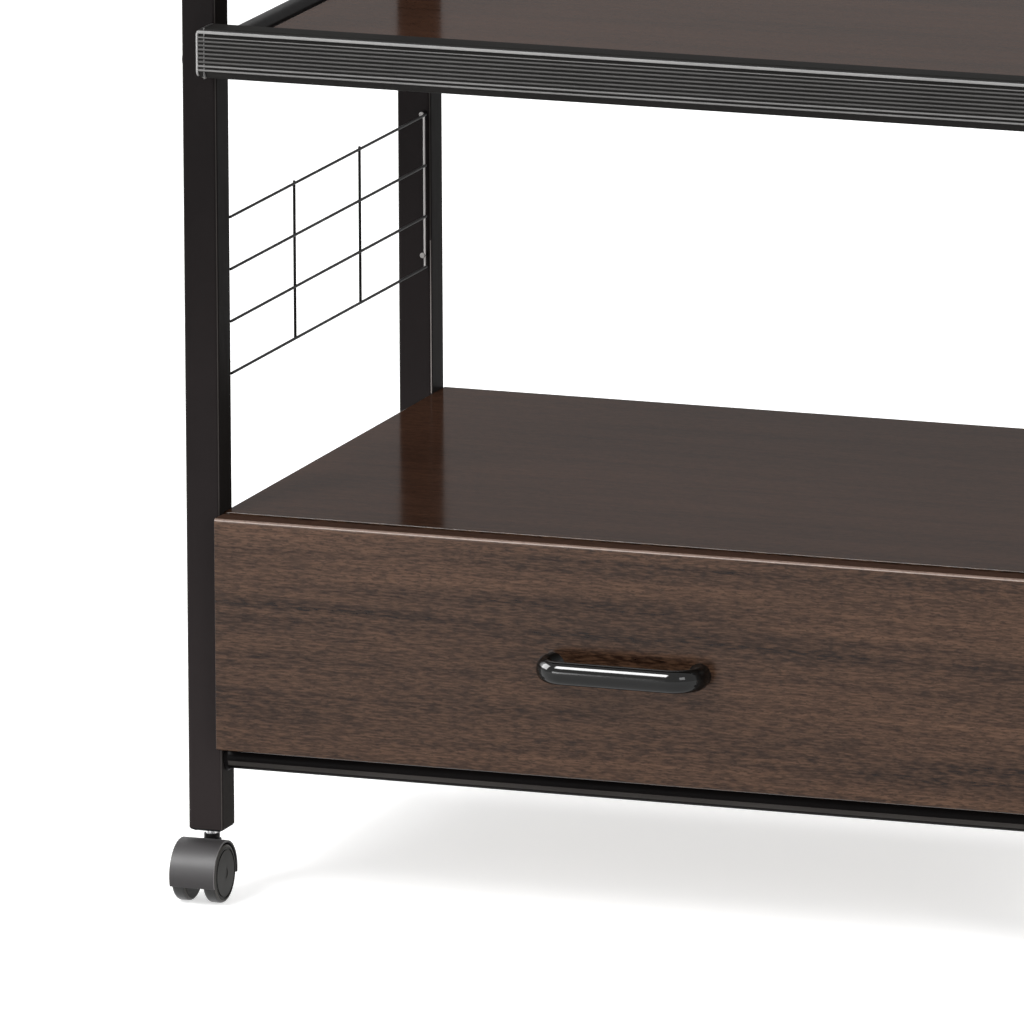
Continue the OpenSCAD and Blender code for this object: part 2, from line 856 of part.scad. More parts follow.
post_fl();
post_fr();
post_rl();
post_rr();
post_caps();
foot_plugs();
rail_front();
rail_rear();
rail_left();
rail_right();
mid_tube_left();
mid_tube_right();
mid_tube_rear();
top_tube_left();
top_tube_right();
top_tube_rear();
shelf_bolts();
frame_screws();
grid_left();
grid_right();
mid_board();
mid_moulding();
mid_end_caps();
top_board();
top_moulding();
top_end_caps();
cabinet_top();
cabinet_left();
cabinet_right();
cabinet_back();
runner_left();
runner_right();
drawer_front();
drawer_left();
drawer_right();
drawer_back();
drawer_bottom();
slide_left();
slide_right();
handle();
handle_screws();
caster_stems();
hood_fl();
hood_fr();
hood_rl();
hood_rr();
axle_fl();
axle_fr();
axle_rl();
axle_rr();
wheel_fl_l();
wheel_fl_r();
wheel_fr_l();
wheel_fr_r();
wheel_rl_l();
wheel_rl_r();
wheel_rr_l();
wheel_rr_r();
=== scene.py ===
"""Kitchen cart: the dressed visual model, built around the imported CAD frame."""
import logging
import math
from contextlib import contextmanager
from dataclasses import dataclass
from enum import Enum
from functools import cache
from typing import Callable, Iterator, Sequence

import bmesh
import bpy
from mathutils import Matrix, Vector


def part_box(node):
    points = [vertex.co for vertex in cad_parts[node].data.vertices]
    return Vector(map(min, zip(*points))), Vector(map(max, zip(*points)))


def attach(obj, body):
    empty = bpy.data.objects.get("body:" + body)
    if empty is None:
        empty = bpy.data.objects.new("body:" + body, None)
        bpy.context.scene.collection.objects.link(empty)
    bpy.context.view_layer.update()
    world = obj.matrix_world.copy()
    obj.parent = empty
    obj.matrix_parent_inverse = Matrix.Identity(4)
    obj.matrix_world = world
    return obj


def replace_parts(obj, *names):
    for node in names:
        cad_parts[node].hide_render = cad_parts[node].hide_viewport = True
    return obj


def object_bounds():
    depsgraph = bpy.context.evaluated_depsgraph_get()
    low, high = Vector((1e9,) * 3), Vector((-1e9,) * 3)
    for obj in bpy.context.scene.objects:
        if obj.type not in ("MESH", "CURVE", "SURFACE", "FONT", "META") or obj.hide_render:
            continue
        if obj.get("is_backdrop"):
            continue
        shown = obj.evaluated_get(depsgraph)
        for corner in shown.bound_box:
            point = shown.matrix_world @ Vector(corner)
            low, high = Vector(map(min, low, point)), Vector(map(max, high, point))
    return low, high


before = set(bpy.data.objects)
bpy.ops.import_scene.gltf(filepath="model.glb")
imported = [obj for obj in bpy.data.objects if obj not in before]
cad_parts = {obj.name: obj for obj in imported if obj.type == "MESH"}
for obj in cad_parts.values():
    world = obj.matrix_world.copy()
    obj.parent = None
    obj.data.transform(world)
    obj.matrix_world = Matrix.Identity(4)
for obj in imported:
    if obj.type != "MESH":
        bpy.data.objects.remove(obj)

CAD_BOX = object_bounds()
LOG = logging.getLogger("cart")
MM = 0.001
X, Y, Z = range(3)

# Limits of the tests that pick points, edges and faces
NEAR = 2e-5
ALONG = 0.9
ASIDE = 0.1
FLAT = 0.98

# Limits of the operators that clean and round a mesh
DOUBLE = 1e-6
SHARP = math.radians(50)

# The colour sockets of a mix node
MIX_START, MIX_END, MIX_RESULT = 6, 7, 2

Point = Sequence[float]
Colour = tuple[float, float, float]
Socket = bpy.types.NodeSocket
Spot = Callable[[Vector, Vector], bool]
Operator = Callable[..., object]


class Part(Enum):
    """The kind of mesh element that an edit picks."""

    POINTS = "VERT"
    EDGES = "EDGE"
    FACES = "FACE"


class Grain(Enum):
    """The ways a board's grain may run: across the cart, or from front to back."""

    ACROSS = X
    DEEP = Y


class Tagged(Enum):
    """Named options that stand in the node names."""

    @property
    def tag(self) -> str:
        """The option as the node names hold it."""
        return self.name.lower()


class Corner(Tagged):
    """The cart's four corners, each with its signs along x and y."""

    FL = (-1, -1)
    FR = (1, -1)
    RL = (-1, 1)
    RR = (1, 1)


class Side(Tagged):
    """The cart's two sides, each with its sign along x."""

    LEFT = -1
    RIGHT = 1


@dataclass
class Box:
    """A box in the cart's frame, from its lowest to its highest corner."""

    low: Vector
    high: Vector

    @classmethod
    def of(cls, node: str) -> "Box":
        """The box of a CAD node at rest."""
        return cls(*(Vector(corner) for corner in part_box(node)))

    def __iter__(self) -> Iterator[Vector]:
        """The lowest and then the highest corner."""
        return iter((self.low, self.high))

    @property
    def mid(self) -> Vector:
        """The box's middle."""
        return (self.low + self.high) / 2


def srgb(*levels: int) -> Colour:
    """Turn a display colour into the linear one that shaders take.

    Args:
        *levels: Red, green and blue, 0 to 255.

    Returns:
        The linear colour.
    """
    shares = (level / 255 for level in levels)
    return tuple(share / 12.92 if share <= 0.04045 else ((share + 0.055) / 1.055) ** 2.4
                 for share in shares)


def runs(axis: int) -> Spot:
    """A test for edges that run along an axis."""
    return lambda at, way: abs(way[axis]) > ALONG


def crosses(axis: int) -> Spot:
    """A test for edges that run square to an axis."""
    return lambda at, way: abs(way[axis]) < ASIDE


def faces(axis: int, sign: int = 1, least: float = FLAT) -> Spot:
    """A test for faces that look along an axis, up or down it by the sign."""
    return lambda at, normal: normal[axis] * sign > least


def oblique(at: Vector, normal: Vector) -> bool:
    """Whether a face lies askew to all three axes' planes, as the rounded edges do."""
    return max(abs(part) for part in normal) < FLAT


def turned(spot: Point, angle: float) -> Matrix:
    """A place at a point, turned about the vertical by an angle in radians."""
    return Matrix.Translation(spot) @ Matrix.Rotation(angle, 4, "Z")


class Piece:
    """One mesh under work, in metres in the cart's frame, shaped with Blender's operators."""

    def __init__(self, obj: bpy.types.Object, name: str) -> None:
        """Take over a mesh object and name it."""
        self.obj, self.name = obj, name
        obj.name = obj.data.name = name

    @classmethod
    def start(cls, name: str, add: Operator, **settings: object) -> "Piece":
        """Start from a primitive.

        Args:
            name: The piece's name.
            add: The operator that adds the primitive.
            **settings: The operator's settings.

        Returns:
            The new piece.
        """
        bpy.ops.object.select_all(action="DESELECT")
        add(**settings)
        return cls(bpy.context.object, name).settle()

    @classmethod
    def block(cls, name: str, low: Point, high: Point) -> "Piece":
        """Start from a cube that fills the box between its lowest and its highest corner."""
        a, b = Vector(low), Vector(high)
        return cls.start(name, bpy.ops.mesh.primitive_cube_add, size=1.0, location=(a + b) / 2,
                         scale=b - a)

    @classmethod
    def panel(cls, node: str, edge: float, steps: int) -> "Piece":
        """Start from a CAD node's box, as a panel with softened edges."""
        return cls.block(f"{node}_panel", *Box.of(node)).bevel(edge, steps).smooth()

    @classmethod
    def rod(cls, name: str, start: Point, end: Point, radius: float, sides: int,
            capped: bool = True) -> "Piece":
        """Start from a cylinder between two points.

        Args:
            name: The piece's name.
            start: The middle of one end.
            end: The middle of the other end.
            radius: The cylinder's radius.
            sides: The number of its sides.
            capped: Whether its ends are closed.

        Returns:
            The new piece.
        """
        a, b = Vector(start), Vector(end)
        turn = Vector((0, 0, 1)).rotation_difference(b - a).to_euler()
        return cls.start(name, bpy.ops.mesh.primitive_cylinder_add, vertices=sides, radius=radius,
                         depth=(b - a).length, location=(a + b) / 2, rotation=turn,
                         end_fill_type="NGON" if capped else "NOTHING")

    @classmethod
    def merge(cls, name: str, pieces: Sequence["Piece"]) -> "Piece":
        """Join pieces into one mesh.

        Args:
            name: The joined piece's name.
            pieces: The pieces, of which the first takes in the others.

        Returns:
            The joined piece.
        """
        pieces[0].select()
        for other in pieces[1:]:
            other.obj.select_set(True)
        bpy.ops.object.join()
        return cls(pieces[0].obj, name)

    def select(self) -> None:
        """Make this piece the only selected and the active object."""
        bpy.ops.object.select_all(action="DESELECT")
        self.obj.select_set(True)
        bpy.context.view_layer.objects.active = self.obj

    def settle(self) -> "Piece":
        """Put the piece's place into its mesh, its object at the origin.

        Returns:
            The same piece.
        """
        self.select()
        bpy.ops.object.transform_apply(location=True, rotation=True, scale=True)
        return self

    @contextmanager
    def editing(self, part: Part, spot: Spot | None) -> Iterator[None]:
        """Open the mesh for an edit, with some of its elements picked.

        Args:
            part: The kind of element.
            spot: The test of an element's middle and its normal or direction; all if absent.

        Yields:
            Nothing; the mesh is in edit mode meanwhile.
        """
        self.select()
        bpy.ops.object.mode_set(mode="EDIT")
        bpy.ops.mesh.select_mode(type=part.value)
        bpy.ops.mesh.select_all(action="DESELECT" if spot else "SELECT")
        if spot:
            mesh = bmesh.from_edit_mesh(self.obj.data)
            if part is Part.POINTS:
                for point in mesh.verts:
                    point.select_set(spot(point.co, point.normal))
            elif part is Part.EDGES:
                for edge in mesh.edges:
                    a, b = (v.co for v in edge.verts)
                    edge.select_set(spot((a + b) / 2, (b - a).normalized()))
            else:
                for face in mesh.faces:
                    face.select_set(spot(face.calc_center_median(), face.normal))
            bmesh.update_edit_mesh(self.obj.data)
        yield
        bpy.ops.object.mode_set(mode="OBJECT")

    def edit(self, part: Part, spot: Spot | None, act: Operator, **settings: object) -> "Piece":
        """Run one operator on some of the mesh's elements.

        Args:
            part: The kind of element.
            spot: The test of an element's middle and its normal or direction; all if absent.
            act: The operator.
            **settings: The operator's settings.

        Returns:
            The same piece.
        """
        with self.editing(part, spot):
            act(**settings)
        return self

    def bevel(self, width: float, steps: int, spot: Spot | None = None) -> "Piece":
        """Round edges by a width on each of their faces, in a number of segments."""
        return self.edit(Part.EDGES, spot, bpy.ops.mesh.bevel, offset=width, segments=steps,
                         profile=0.5, affect="EDGES", clamp_overlap=True)

    def inset(self, width: float, spot: Spot, depth: float = 0.0) -> "Piece":
        """Inset faces by a border's width; a negative depth sinks the inner face."""
        return self.edit(Part.FACES, spot, bpy.ops.mesh.inset, thickness=width, depth=depth)

    def push(self, offset: Point, spot: Spot) -> "Piece":
        """Extrude faces by an offset."""
        return self.edit(Part.FACES, spot, bpy.ops.mesh.extrude_region_move,
                         TRANSFORM_OT_translate={"value": tuple(offset)})

    def move(self, offset: Point, spot: Spot) -> "Piece":
        """Move points by an offset."""
        return self.edit(Part.POINTS, spot, bpy.ops.transform.translate, value=tuple(offset))

    def swell(self, factors: Point, centre: Point, spot: Spot | None = None) -> "Piece":
        """Scale points about a centre, by a factor along each axis."""
        return self.edit(Part.POINTS, spot, bpy.ops.transform.resize, value=tuple(factors),
                         center_override=tuple(centre))

    def cut(self, at: Point, normal: Point, drop: bool = False) -> "Piece":
        """Cut the mesh along a plane; drop takes off the normal's side and closes the cut."""
        return self.edit(Part.FACES, None, bpy.ops.mesh.bisect, plane_co=tuple(at),
                         plane_no=tuple(normal), use_fill=drop, clear_outer=drop)

    def drop_faces(self, spot: Spot) -> "Piece":
        """Delete faces, with the edges that no other face has."""
        return self.edit(Part.FACES, spot, bpy.ops.mesh.delete, type="FACE")

    def weld(self) -> "Piece":
        """Merge doubled points and turn all faces outwards."""
        self.edit(Part.POINTS, None, bpy.ops.mesh.remove_doubles, threshold=DOUBLE)
        return self.edit(Part.POINTS, None, bpy.ops.mesh.normals_make_consistent, inside=False)

    def modify(self, kind: str, **settings: object) -> "Piece":
        """Add a modifier and apply it.

        Args:
            kind: The modifier's type.
            **settings: Its properties.

        Returns:
            The same piece.
        """
        self.select()
        modifier = self.obj.modifiers.new(kind.title(), kind)
        for key, value in settings.items():
            setattr(modifier, key, value)
        bpy.ops.object.modifier_apply(modifier=modifier.name)
        return self

    def soften(self, width: float, steps: int) -> "Piece":
        """Round all sharp edges by a width, in a number of segments."""
        return self.modify("BEVEL", width=width, segments=steps, limit_method="ANGLE",
                           angle_limit=SHARP)

    def carve(self, tool: "Piece", operation: str = "DIFFERENCE") -> "Piece":
        """Cut with another piece, which is used up.

        Args:
            tool: The piece that cuts.
            operation: The boolean operation.

        Returns:
            The same piece.
        """
        self.modify("BOOLEAN", object=tool.obj, operation=operation, solver="EXACT")
        bpy.data.meshes.remove(tool.obj.data)
        return self

    def copy(self, name: str, place: Matrix) -> "Piece":
        """Copy the piece with a mesh of its own.

        Args:
            name: The copy's name.
            place: Where the copy goes, from the original's place.

        Returns:
            The copy.
        """
        self.select()
        bpy.ops.object.duplicate(linked=False)
        twin = Piece(bpy.context.object, name)
        twin.obj.matrix_world = place
        return twin.settle()

    def smooth(self, degrees: float = 35.0) -> "Piece":
        """Shade smooth up to an angle, with flat faces kept flat.

        Args:
            degrees: The sharpest angle that is still smoothed.

        Returns:
            The same piece.
        """
        self.select()
        bpy.ops.object.shade_smooth_by_angle(angle=math.radians(degrees))
        return self.modify("WEIGHTED_NORMAL", keep_sharp=True, weight=80)

    def paint(self, finish: "Finish", spot: Spot | None = None) -> "Piece":
        """Give the piece, or some of its faces, a finish.

        Args:
            finish: The finish.
            spot: The test of a face's middle and normal; all faces if absent.

        Returns:
            The same piece.
        """
        mesh = self.obj.data
        mesh.materials.append(finish.material())
        for face in mesh.polygons:
            if spot is None or spot(face.center, face.normal):
                face.material_index = len(mesh.materials) - 1
        return self

    def place(self, body: str, slot: str, *nodes: str) -> "Piece":
        """Hand the piece over: its body and the CAD nodes that it stands for.

        Args:
            body: The body that it rides on.
            slot: The record's material slot; not used.
            *nodes: The nodes that it replaces.

        Returns:
            The same piece.
        """
        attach(self.obj, body)
        self.obj
        if nodes:
            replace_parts(self.obj, *nodes)
        LOG.info("%s on %s, %d faces", self.name, body, len(self.obj.data.polygons))
        return self


class Shading:
    """A node tree under work, with the shader or the background that it starts with."""

    def __init__(self, tree: bpy.types.NodeTree) -> None:
        """Take over a material's or a world's tree."""
        self.tree = tree
        self.shader = tree.nodes.get("Principled BSDF") or tree.nodes["Background"]

    def feed(self, target: Socket, value: object) -> None:
        """Link a socket to another one, or set it to a constant.

        Args:
            target: The socket that is fed.
            value: The socket that gives its value, or the constant.
        """
        if isinstance(value, Socket):
            self.tree.links.new(value, target)
        else:
            target.default_value = (*value, 1.0) if target.type == "RGBA" else value

    def surface(self, inputs: dict[str, object]) -> None:
        """Feed the shader's inputs, given by name."""
        for key, value in inputs.items():
            self.feed(self.shader.inputs[key], value)

    def add(self, kind: str, inputs: dict[str | int, object], output: str | int = 0,
            **settings: object) -> Socket:
        """Add a node.

        Args:
            kind: The node's type.
            inputs: What its inputs are fed with, by their names or numbers.
            output: The name or number of the output that is wanted.
            **settings: Its properties.

        Returns:
            The output.
        """
        node = self.tree.nodes.new(f"ShaderNode{kind}")
        for key, value in settings.items():
            setattr(node, key, value)
        for key, value in inputs.items():
            self.feed(node.inputs[key], value)
        return node.outputs[output]

    def place(self) -> Socket:
        """The point in the cart's frame, in metres."""
        return self.add("TexCoord", {}, "Object")

    def height(self) -> Socket:
        """The height over the floor, in metres."""
        return self.add("SeparateXYZ", {"Vector": self.place()}, "Z")

    def seen(self) -> Socket:
        """One for rays that see the pale surroundings, else zero: camera, glossy, transmission."""
        rays = [self.add("LightPath", {}, f"Is {kind} Ray")
                for kind in ("Camera", "Glossy", "Transmission")]
        return self.math(self.math(rays[0], rays[1], "MAXIMUM"), rays[2], "MAXIMUM")

    def noise(self, per_metre: Point, detail: float = 3.0, roughness: float = 0.55,
              distortion: float = 0.0) -> Socket:
        """Add a noise with its own number of cells per metre along each axis.

        Args:
            per_metre: The cells per metre along x, y and z.
            detail: The number of octaves.
            roughness: The strength of the finer octaves.
            distortion: The warp.

        Returns:
            The noise value, about 0.5 on average.
        """
        cells = self.add("Mapping", {"Vector": self.place(), "Scale": tuple(per_metre)})
        return self.add("TexNoise", {"Vector": cells, "Scale": 1.0, "Detail": detail,
                                     "Roughness": roughness, "Distortion": distortion}, "Fac")

    def span(self, value: Socket, low: float, high: float, to_low: float = 0.0,
             to_high: float = 1.0) -> Socket:
        """Map a value from one range to another, clamped."""
        return self.add("MapRange", {"Value": value, "From Min": low, "From Max": high,
                                     "To Min": to_low, "To Max": to_high}, "Result")

    def math(self, a: Socket, b: Socket | float, kind: str = "ADD") -> Socket:
        """Join two values with a math node."""
        return self.add("Math", {0: a, 1: b}, "Value", operation=kind)

    def shade(self, share: Socket, start: Colour | Socket, end: Colour) -> Socket:
        """Mix two colours by the second one's share."""
        return self.add("Mix", {"Factor": share, MIX_START: start, MIX_END: end}, MIX_RESULT,
                        data_type="RGBA")

    def bump(self, height: Socket, strength: float, depth: float) -> None:
        """Lead a height to the shader as bump; a height of one is as deep as depth, in metres."""
        bump = self.add("Bump", {"Height": height, "Strength": strength, "Distance": depth})
        self.surface({"Normal": bump})


@dataclass(frozen=True)
class Finish:
    """A finish that pieces can take."""

    name: str
    colour: Colour
    roughness: float
    specular: float

    @cache
    def material(self) -> bpy.types.Material:
        """The finish's material, made at its first use.

        Returns:
            The material.
        """
        material = bpy.data.materials.new(self.name)
        material.use_nodes = True
        sheet = Shading(material.node_tree)
        sheet.surface({"Base Color": self.colour, "Roughness": self.roughness,
                       "Specular IOR Level": self.specular})
        self.draw(sheet)
        return material

    def draw(self, sheet: Shading) -> None:
        """Draw the finish's pattern; each kind has its own."""
        raise NotImplementedError

    def tint(self, factor: float) -> Colour:
        """The base colour, lighter or darker by a factor."""
        return tuple(level * factor for level in self.colour)

    def cloud(self, sheet: Shading, value: Socket, low: float, high: float, start: float,
              end: float) -> Socket:
        """The base colour from one factor to another, as a value goes through its range."""
        return sheet.shade(sheet.span(value, low, high), self.tint(start), self.tint(end))

    def gloss(self, sheet: Shading, value: Socket, low: float, high: float, less: float,
              more: float) -> None:
        """Let the roughness go from less to more, as a value goes through its range."""
        rough = self.roughness
        sheet.surface({"Roughness": sheet.span(value, low, high, rough - less, rough + more)})

    def dress(self, *nodes: str) -> None:
        """Give carried-over CAD nodes this finish.

        Args:
            *nodes: The nodes' names.
        """
        for node in nodes:
            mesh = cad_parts[node].data
            mesh.materials.clear()
            mesh.materials.append(self.material())
            LOG.info("%s keeps its CAD mesh in %s", node, self.name)


@dataclass(frozen=True)
class Paint(Finish):
    """Stoved paint on steel: orange peel, cloudiness, rubbed spots, and painted floor light that
    makes it lighter towards the floor.
    """

    peel: float = 700.0
    rub: float = 1.6
    # How many times lighter the paint is painted at the floor: painted floor light
    dust: float = 1.0
    # The heights in metres over which the painted floor light fades out
    dusty: tuple[float, float] = (0.02, 0.46)

    def draw(self, sheet: Shading) -> None:
        """Draw the paint.

        Args:
            sheet: The node tree to draw in.
        """
        cloud = sheet.noise((9, 9, 9), 4.0)
        scuff = sheet.noise((160, 160, 38), 5.0, 0.7, 0.6)
        tone = self.cloud(sheet, cloud, 0.35, 0.65, 0.82, 1.18)
        tone = sheet.shade(sheet.span(scuff, 0.66, 0.78, 0.0, 0.5), tone, self.tint(self.rub))
        # Painted floor light: the colour lightens towards the floor
        if self.dust > 1:
            near = sheet.span(sheet.height(), *self.dusty, 1.0, 0.0)
            tone = sheet.shade(near, tone, self.tint(self.dust))
        sheet.surface({"Base Color": tone})
        self.gloss(sheet, sheet.math(cloud, scuff), 0.7, 1.3, 0.05, 0.09)
        sheet.bump(sheet.noise((self.peel,) * 3, 2.0), 0.12, 0.12 * MM)


@dataclass(frozen=True)
class Walnut(Finish):
    """Walnut laminate: bands, fine fibres and short dark pores along the grain, lacquered."""

    dark: Colour = srgb(25, 13, 7)
    light: Colour = srgb(95, 69, 52)
    pore: Colour = srgb(13, 7, 4)
    grain: Grain = Grain.ACROSS
    figure: tuple[float, float] = (0.4, 0.64)

    def along(self, length: float, width: float) -> Point:
        """A noise's cells per metre, by how many lie along and across the grain.

        Args:
            length: The cells along the grain.
            width: The cells across it.

        Returns:
            The cells along x, y and z.
        """
        cells = [width] * 3
        cells[self.grain.value] = length
        return cells

    def draw(self, sheet: Shading) -> None:
        """Draw the grain.

        Args:
            sheet: The node tree to draw in.
        """
        band = sheet.noise(self.along(1.3, 26), 3.0, 0.55, 0.9)
        streak = sheet.noise(self.along(3.2, 150), 4.0, 0.65, 0.4)
        fibre = sheet.noise(self.along(110, 820), 3.0, 0.6)
        pores = sheet.noise(self.along(260, 1000), 2.0, 0.5, 0.3)
        body = sheet.span(band, *self.figure, 0.0, 0.28)
        for layer, weight in ((streak, 0.24), (fibre, 0.44)):
            body = sheet.math(body, sheet.span(layer, *self.figure, 0.0, weight))
        grain = sheet.shade(body, self.dark, self.light)
        spots = sheet.span(pores, 0.52, 0.68, 0.0, 0.55)
        sheet.surface({"Base Color": sheet.shade(spots, grain, self.pore)})
        self.gloss(sheet, streak, 0.3, 0.7, 0.0, 0.07)
        pits = sheet.span(pores, 0.55, 0.7, 1.0, 0.0)
        sheet.bump(sheet.math(pits, sheet.span(fibre, 0.3, 0.7, 0.8), "MULTIPLY"), 0.06, 0.06 * MM)


@dataclass(frozen=True)
class Plastic(Finish):
    """Moulded or extruded plastic: a fine grain, soft cloudiness and a little dust."""

    grain: float = 1400.0
    grain_share: float = 0.1

    def draw(self, sheet: Shading) -> None:
        """Draw the plastic.

        Args:
            sheet: The node tree to draw in.
        """
        cloud = sheet.noise((22, 22, 22), 4.0)
        dust = sheet.span(sheet.noise((420, 420, 420), 4.0, 0.7), 0.66, 0.8, 0.0, 0.35)
        tone = self.cloud(sheet, cloud, 0.3, 0.7, 0.9, 1.1)
        sheet.surface({"Base Color": sheet.shade(dust, tone, self.tint(1.5))})
        self.gloss(sheet, cloud, 0.3, 0.7, 0.03, 0.05)
        sheet.bump(sheet.noise((self.grain,) * 3, 2.0), self.grain_share, 0.08 * MM)


@dataclass(frozen=True)
class Zinc(Finish):
    """Plated steel: bright metal with a fine drawn grain and dull patches."""

    drawn: tuple[float, float, float] = (900, 900, 120)

    def draw(self, sheet: Shading) -> None:
        """Draw the plating.

        Args:
            sheet: The node tree to draw in.
        """
        cloud = sheet.noise((70, 70, 70), 4.0)
        lines = sheet.noise(self.drawn, 2.0)
        tone = self.cloud(sheet, cloud, 0.35, 0.7, 1.0, 0.62)
        sheet.surface({"Metallic": 1.0, "Base Color": tone})
        self.gloss(sheet, sheet.math(cloud, lines), 0.7, 1.3, 0.08, 0.12)
        sheet.bump(lines, 0.08, 0.04 * MM)


@dataclass(frozen=True)
class Foil(Finish):
    """Foil-wrapped board: a plain printed grain under a dull film."""

    def draw(self, sheet: Shading) -> None:
        """Draw the foil.

        Args:
            sheet: The node tree to draw in.
        """
        streak = sheet.noise((40, 4, 40), 4.0, 0.6, 0.5)
        speck = sheet.noise((600, 60, 600), 2.0)
        tone = self.cloud(sheet, streak, 0.3, 0.7, 0.86, 1.12)
        specks = sheet.span(speck, 0.6, 0.75, 0.0, 0.5)
        sheet.surface({"Base Color": sheet.shade(specks, tone, self.tint(0.7))})
        self.gloss(sheet, streak, 0.3, 0.7, 0.04, 0.06)
        sheet.bump(speck, 0.05, 0.06 * MM)


@dataclass(frozen=True)
class Backdrop(Finish):
    """The pale floor, softly lifted to white where the eye meets it."""

    lift: float = 0.6

    def draw(self, sheet: Shading) -> None:
        """Add the lift to the plain shader.

        Args:
            sheet: The node tree to draw in.
        """
        glow = sheet.add("Emission", {"Strength": sheet.math(sheet.seen(), self.lift, "MULTIPLY")})
        both = sheet.add("AddShader", {0: sheet.shader.outputs["BSDF"], 1: glow})
        sheet.feed(sheet.tree.nodes["Material Output"].inputs["Surface"], both)


BLACK_PAINT = Paint("black_paint", srgb(18, 16, 16), 0.34, 0.02)
# Painted reflection: a lighter band low on both sides of the round tubes, for the floor's
# reflection
TUBE_SHEEN = Paint("tube_sheen", srgb(63, 60, 58), 0.3, 0.03)
# The posts' black, with painted floor light
POST_PAINT = Paint("post_paint", srgb(24, 21, 21), 0.34, 0.02, dust=3.2)
# A copy of the post paint that reflects less, for the posts' sides: painted shade, with the same
# painted floor light
POST_SIDE_SHADE = Paint("side_paint", srgb(24, 22, 21), 0.34, 0.006, dust=3.2)
# Painted highlight on the posts' rounded corners, lighter towards the floor
POST_EDGE_HIGHLIGHT = Paint("edge_paint", srgb(52, 49, 47), 0.3, 0.1, dust=2.0)
# Painted highlight on the rear posts' front inner corners above the cabinet, fading upwards
EDGE_GLINT = Paint("edge_glint", srgb(95, 91, 89), 0.3, 0.1, rub=1.1, dust=8.0)
WIRE_PAINT = Paint("wire_paint", srgb(22, 21, 21), 0.3, 0.04)
# Painted highlight on the grids' end uprights
WIRE_GLINT = Paint("wire_glint", srgb(186, 183, 181), 0.25, 0.5, rub=1.1)
# Painted highlight on the pegs' tips
PEG_GLINT = Paint("peg_glint", srgb(128, 125, 123), 0.3, 0.3, rub=1.1)
WALNUT = Walnut("walnut_laminate", srgb(80, 64, 55), 0.16, 0.2)
WALNUT_SIDE = Walnut("walnut_side", srgb(80, 64, 55), 0.16, 0.2, grain=Grain.DEEP)
# A copy of the walnut for the upward faces, with its own narrower, redder colours and almost no
# reflection: painted light on the tops
WALNUT_TOP = Walnut("walnut_top", srgb(61, 42, 32), 0.085, 0.0037, srgb(50, 34, 26),
                    srgb(74, 50, 38), srgb(40, 27, 20))
# Painted shade: a copy of the walnut that reflects nothing, for the drawer front's top face
DRAWER_TOP_SHADE = Walnut("walnut_dull", srgb(68, 50, 42), 0.5, 0.0, srgb(60, 44, 37),
                     srgb(80, 60, 50), srgb(50, 36, 29))
# Painted highlight: a lighter, more reflective walnut for the rounded edges of the boards and the
# drawer front
WALNUT_EDGE_HIGHLIGHT = Walnut("edge_lacquer", srgb(130, 110, 99), 0.28, 0.15, srgb(112, 93, 83),
                      srgb(148, 127, 115), srgb(84, 68, 60))
# Painted highlights on the moulding's ridge crests, stronger on the first and the lowest ridges
RIDGE_HIGHLIGHT = Plastic("ridge_plastic", srgb(74, 73, 72), 0.3, 0.05)
STRONG_RIDGE_HIGHLIGHT = Plastic("ridge_bright", srgb(108, 107, 106), 0.3, 0.08)
# Painted highlight on the front of the moulding's bead
BEAD_HIGHLIGHT = Plastic("bead_plastic", srgb(136, 135, 134), 0.28, 0.24)
GROOVE_PLASTIC = Plastic("groove_plastic", srgb(31, 30, 29), 0.5, 0.05)
# A copy of the moulding's plastic for its upward faces, lighter than the grooves and without
# reflection: painted light on the tops
LIT_TOP_PLASTIC = Plastic("cap_plastic", srgb(42, 41, 40), 0.4, 0.001)
# Painted highlight on the end caps' outer rims and lower edges
END_CAP_HIGHLIGHT = Plastic("end_plastic", srgb(150, 149, 148), 0.3, 0.2)
HANDLE_PLASTIC = Plastic("handle_gloss", srgb(9, 9, 8), 0.08, 0.3, 300.0, 0.02)
BLACK_PLASTIC = Plastic("plug_black", srgb(22, 22, 22), 0.45, 0.1)
HOOD_PLASTIC = Plastic("hood_grey", srgb(38, 35, 36), 0.52, 0.42)
# Painted highlight on the hoods' rounded rims
HOOD_HIGHLIGHT = Plastic("hood_rim", srgb(104, 101, 101), 0.4, 0.3)
WHEEL_PLASTIC = Plastic("wheel_grey", srgb(38, 37, 34), 0.35, 0.06)
# Painted highlight round the wheels' discs, by the tread
WHEEL_HIGHLIGHT = Plastic("wheel_rim", srgb(72, 70, 67), 0.3, 0.2)
TREAD_PLASTIC = Plastic("wheel_tread", srgb(24, 23, 22), 0.2, 0.4)
SCREW_ZINC = Zinc("screw_zinc", (0.55, 0.55, 0.56), 0.34, 0.5)
STEM_ZINC = Zinc("stem_zinc", (0.86, 0.86, 0.87), 0.24, 0.5)
STEM_BLACK = Paint("stem_black", srgb(28, 27, 27), 0.35, 0.1, 1400.0, 1.3)
BOLT_BLACK = Paint("bolt_black", srgb(40, 39, 38), 0.3, 0.2, 1400.0, 1.3)
RUNNER_COAT = Paint("runner_coat", srgb(120, 119, 117), 0.4, 0.3, 900.0, 1.15)
BOX_FOIL = Foil("box_foil", srgb(150, 140, 128), 0.42, 0.2)
BOX_BOTTOM = Foil("box_bottom", srgb(160, 150, 138), 0.5, 0.2)
FLOOR_WHITE = Backdrop("floor_white", (0.86, 0.86, 0.86), 0.9, 0.0)


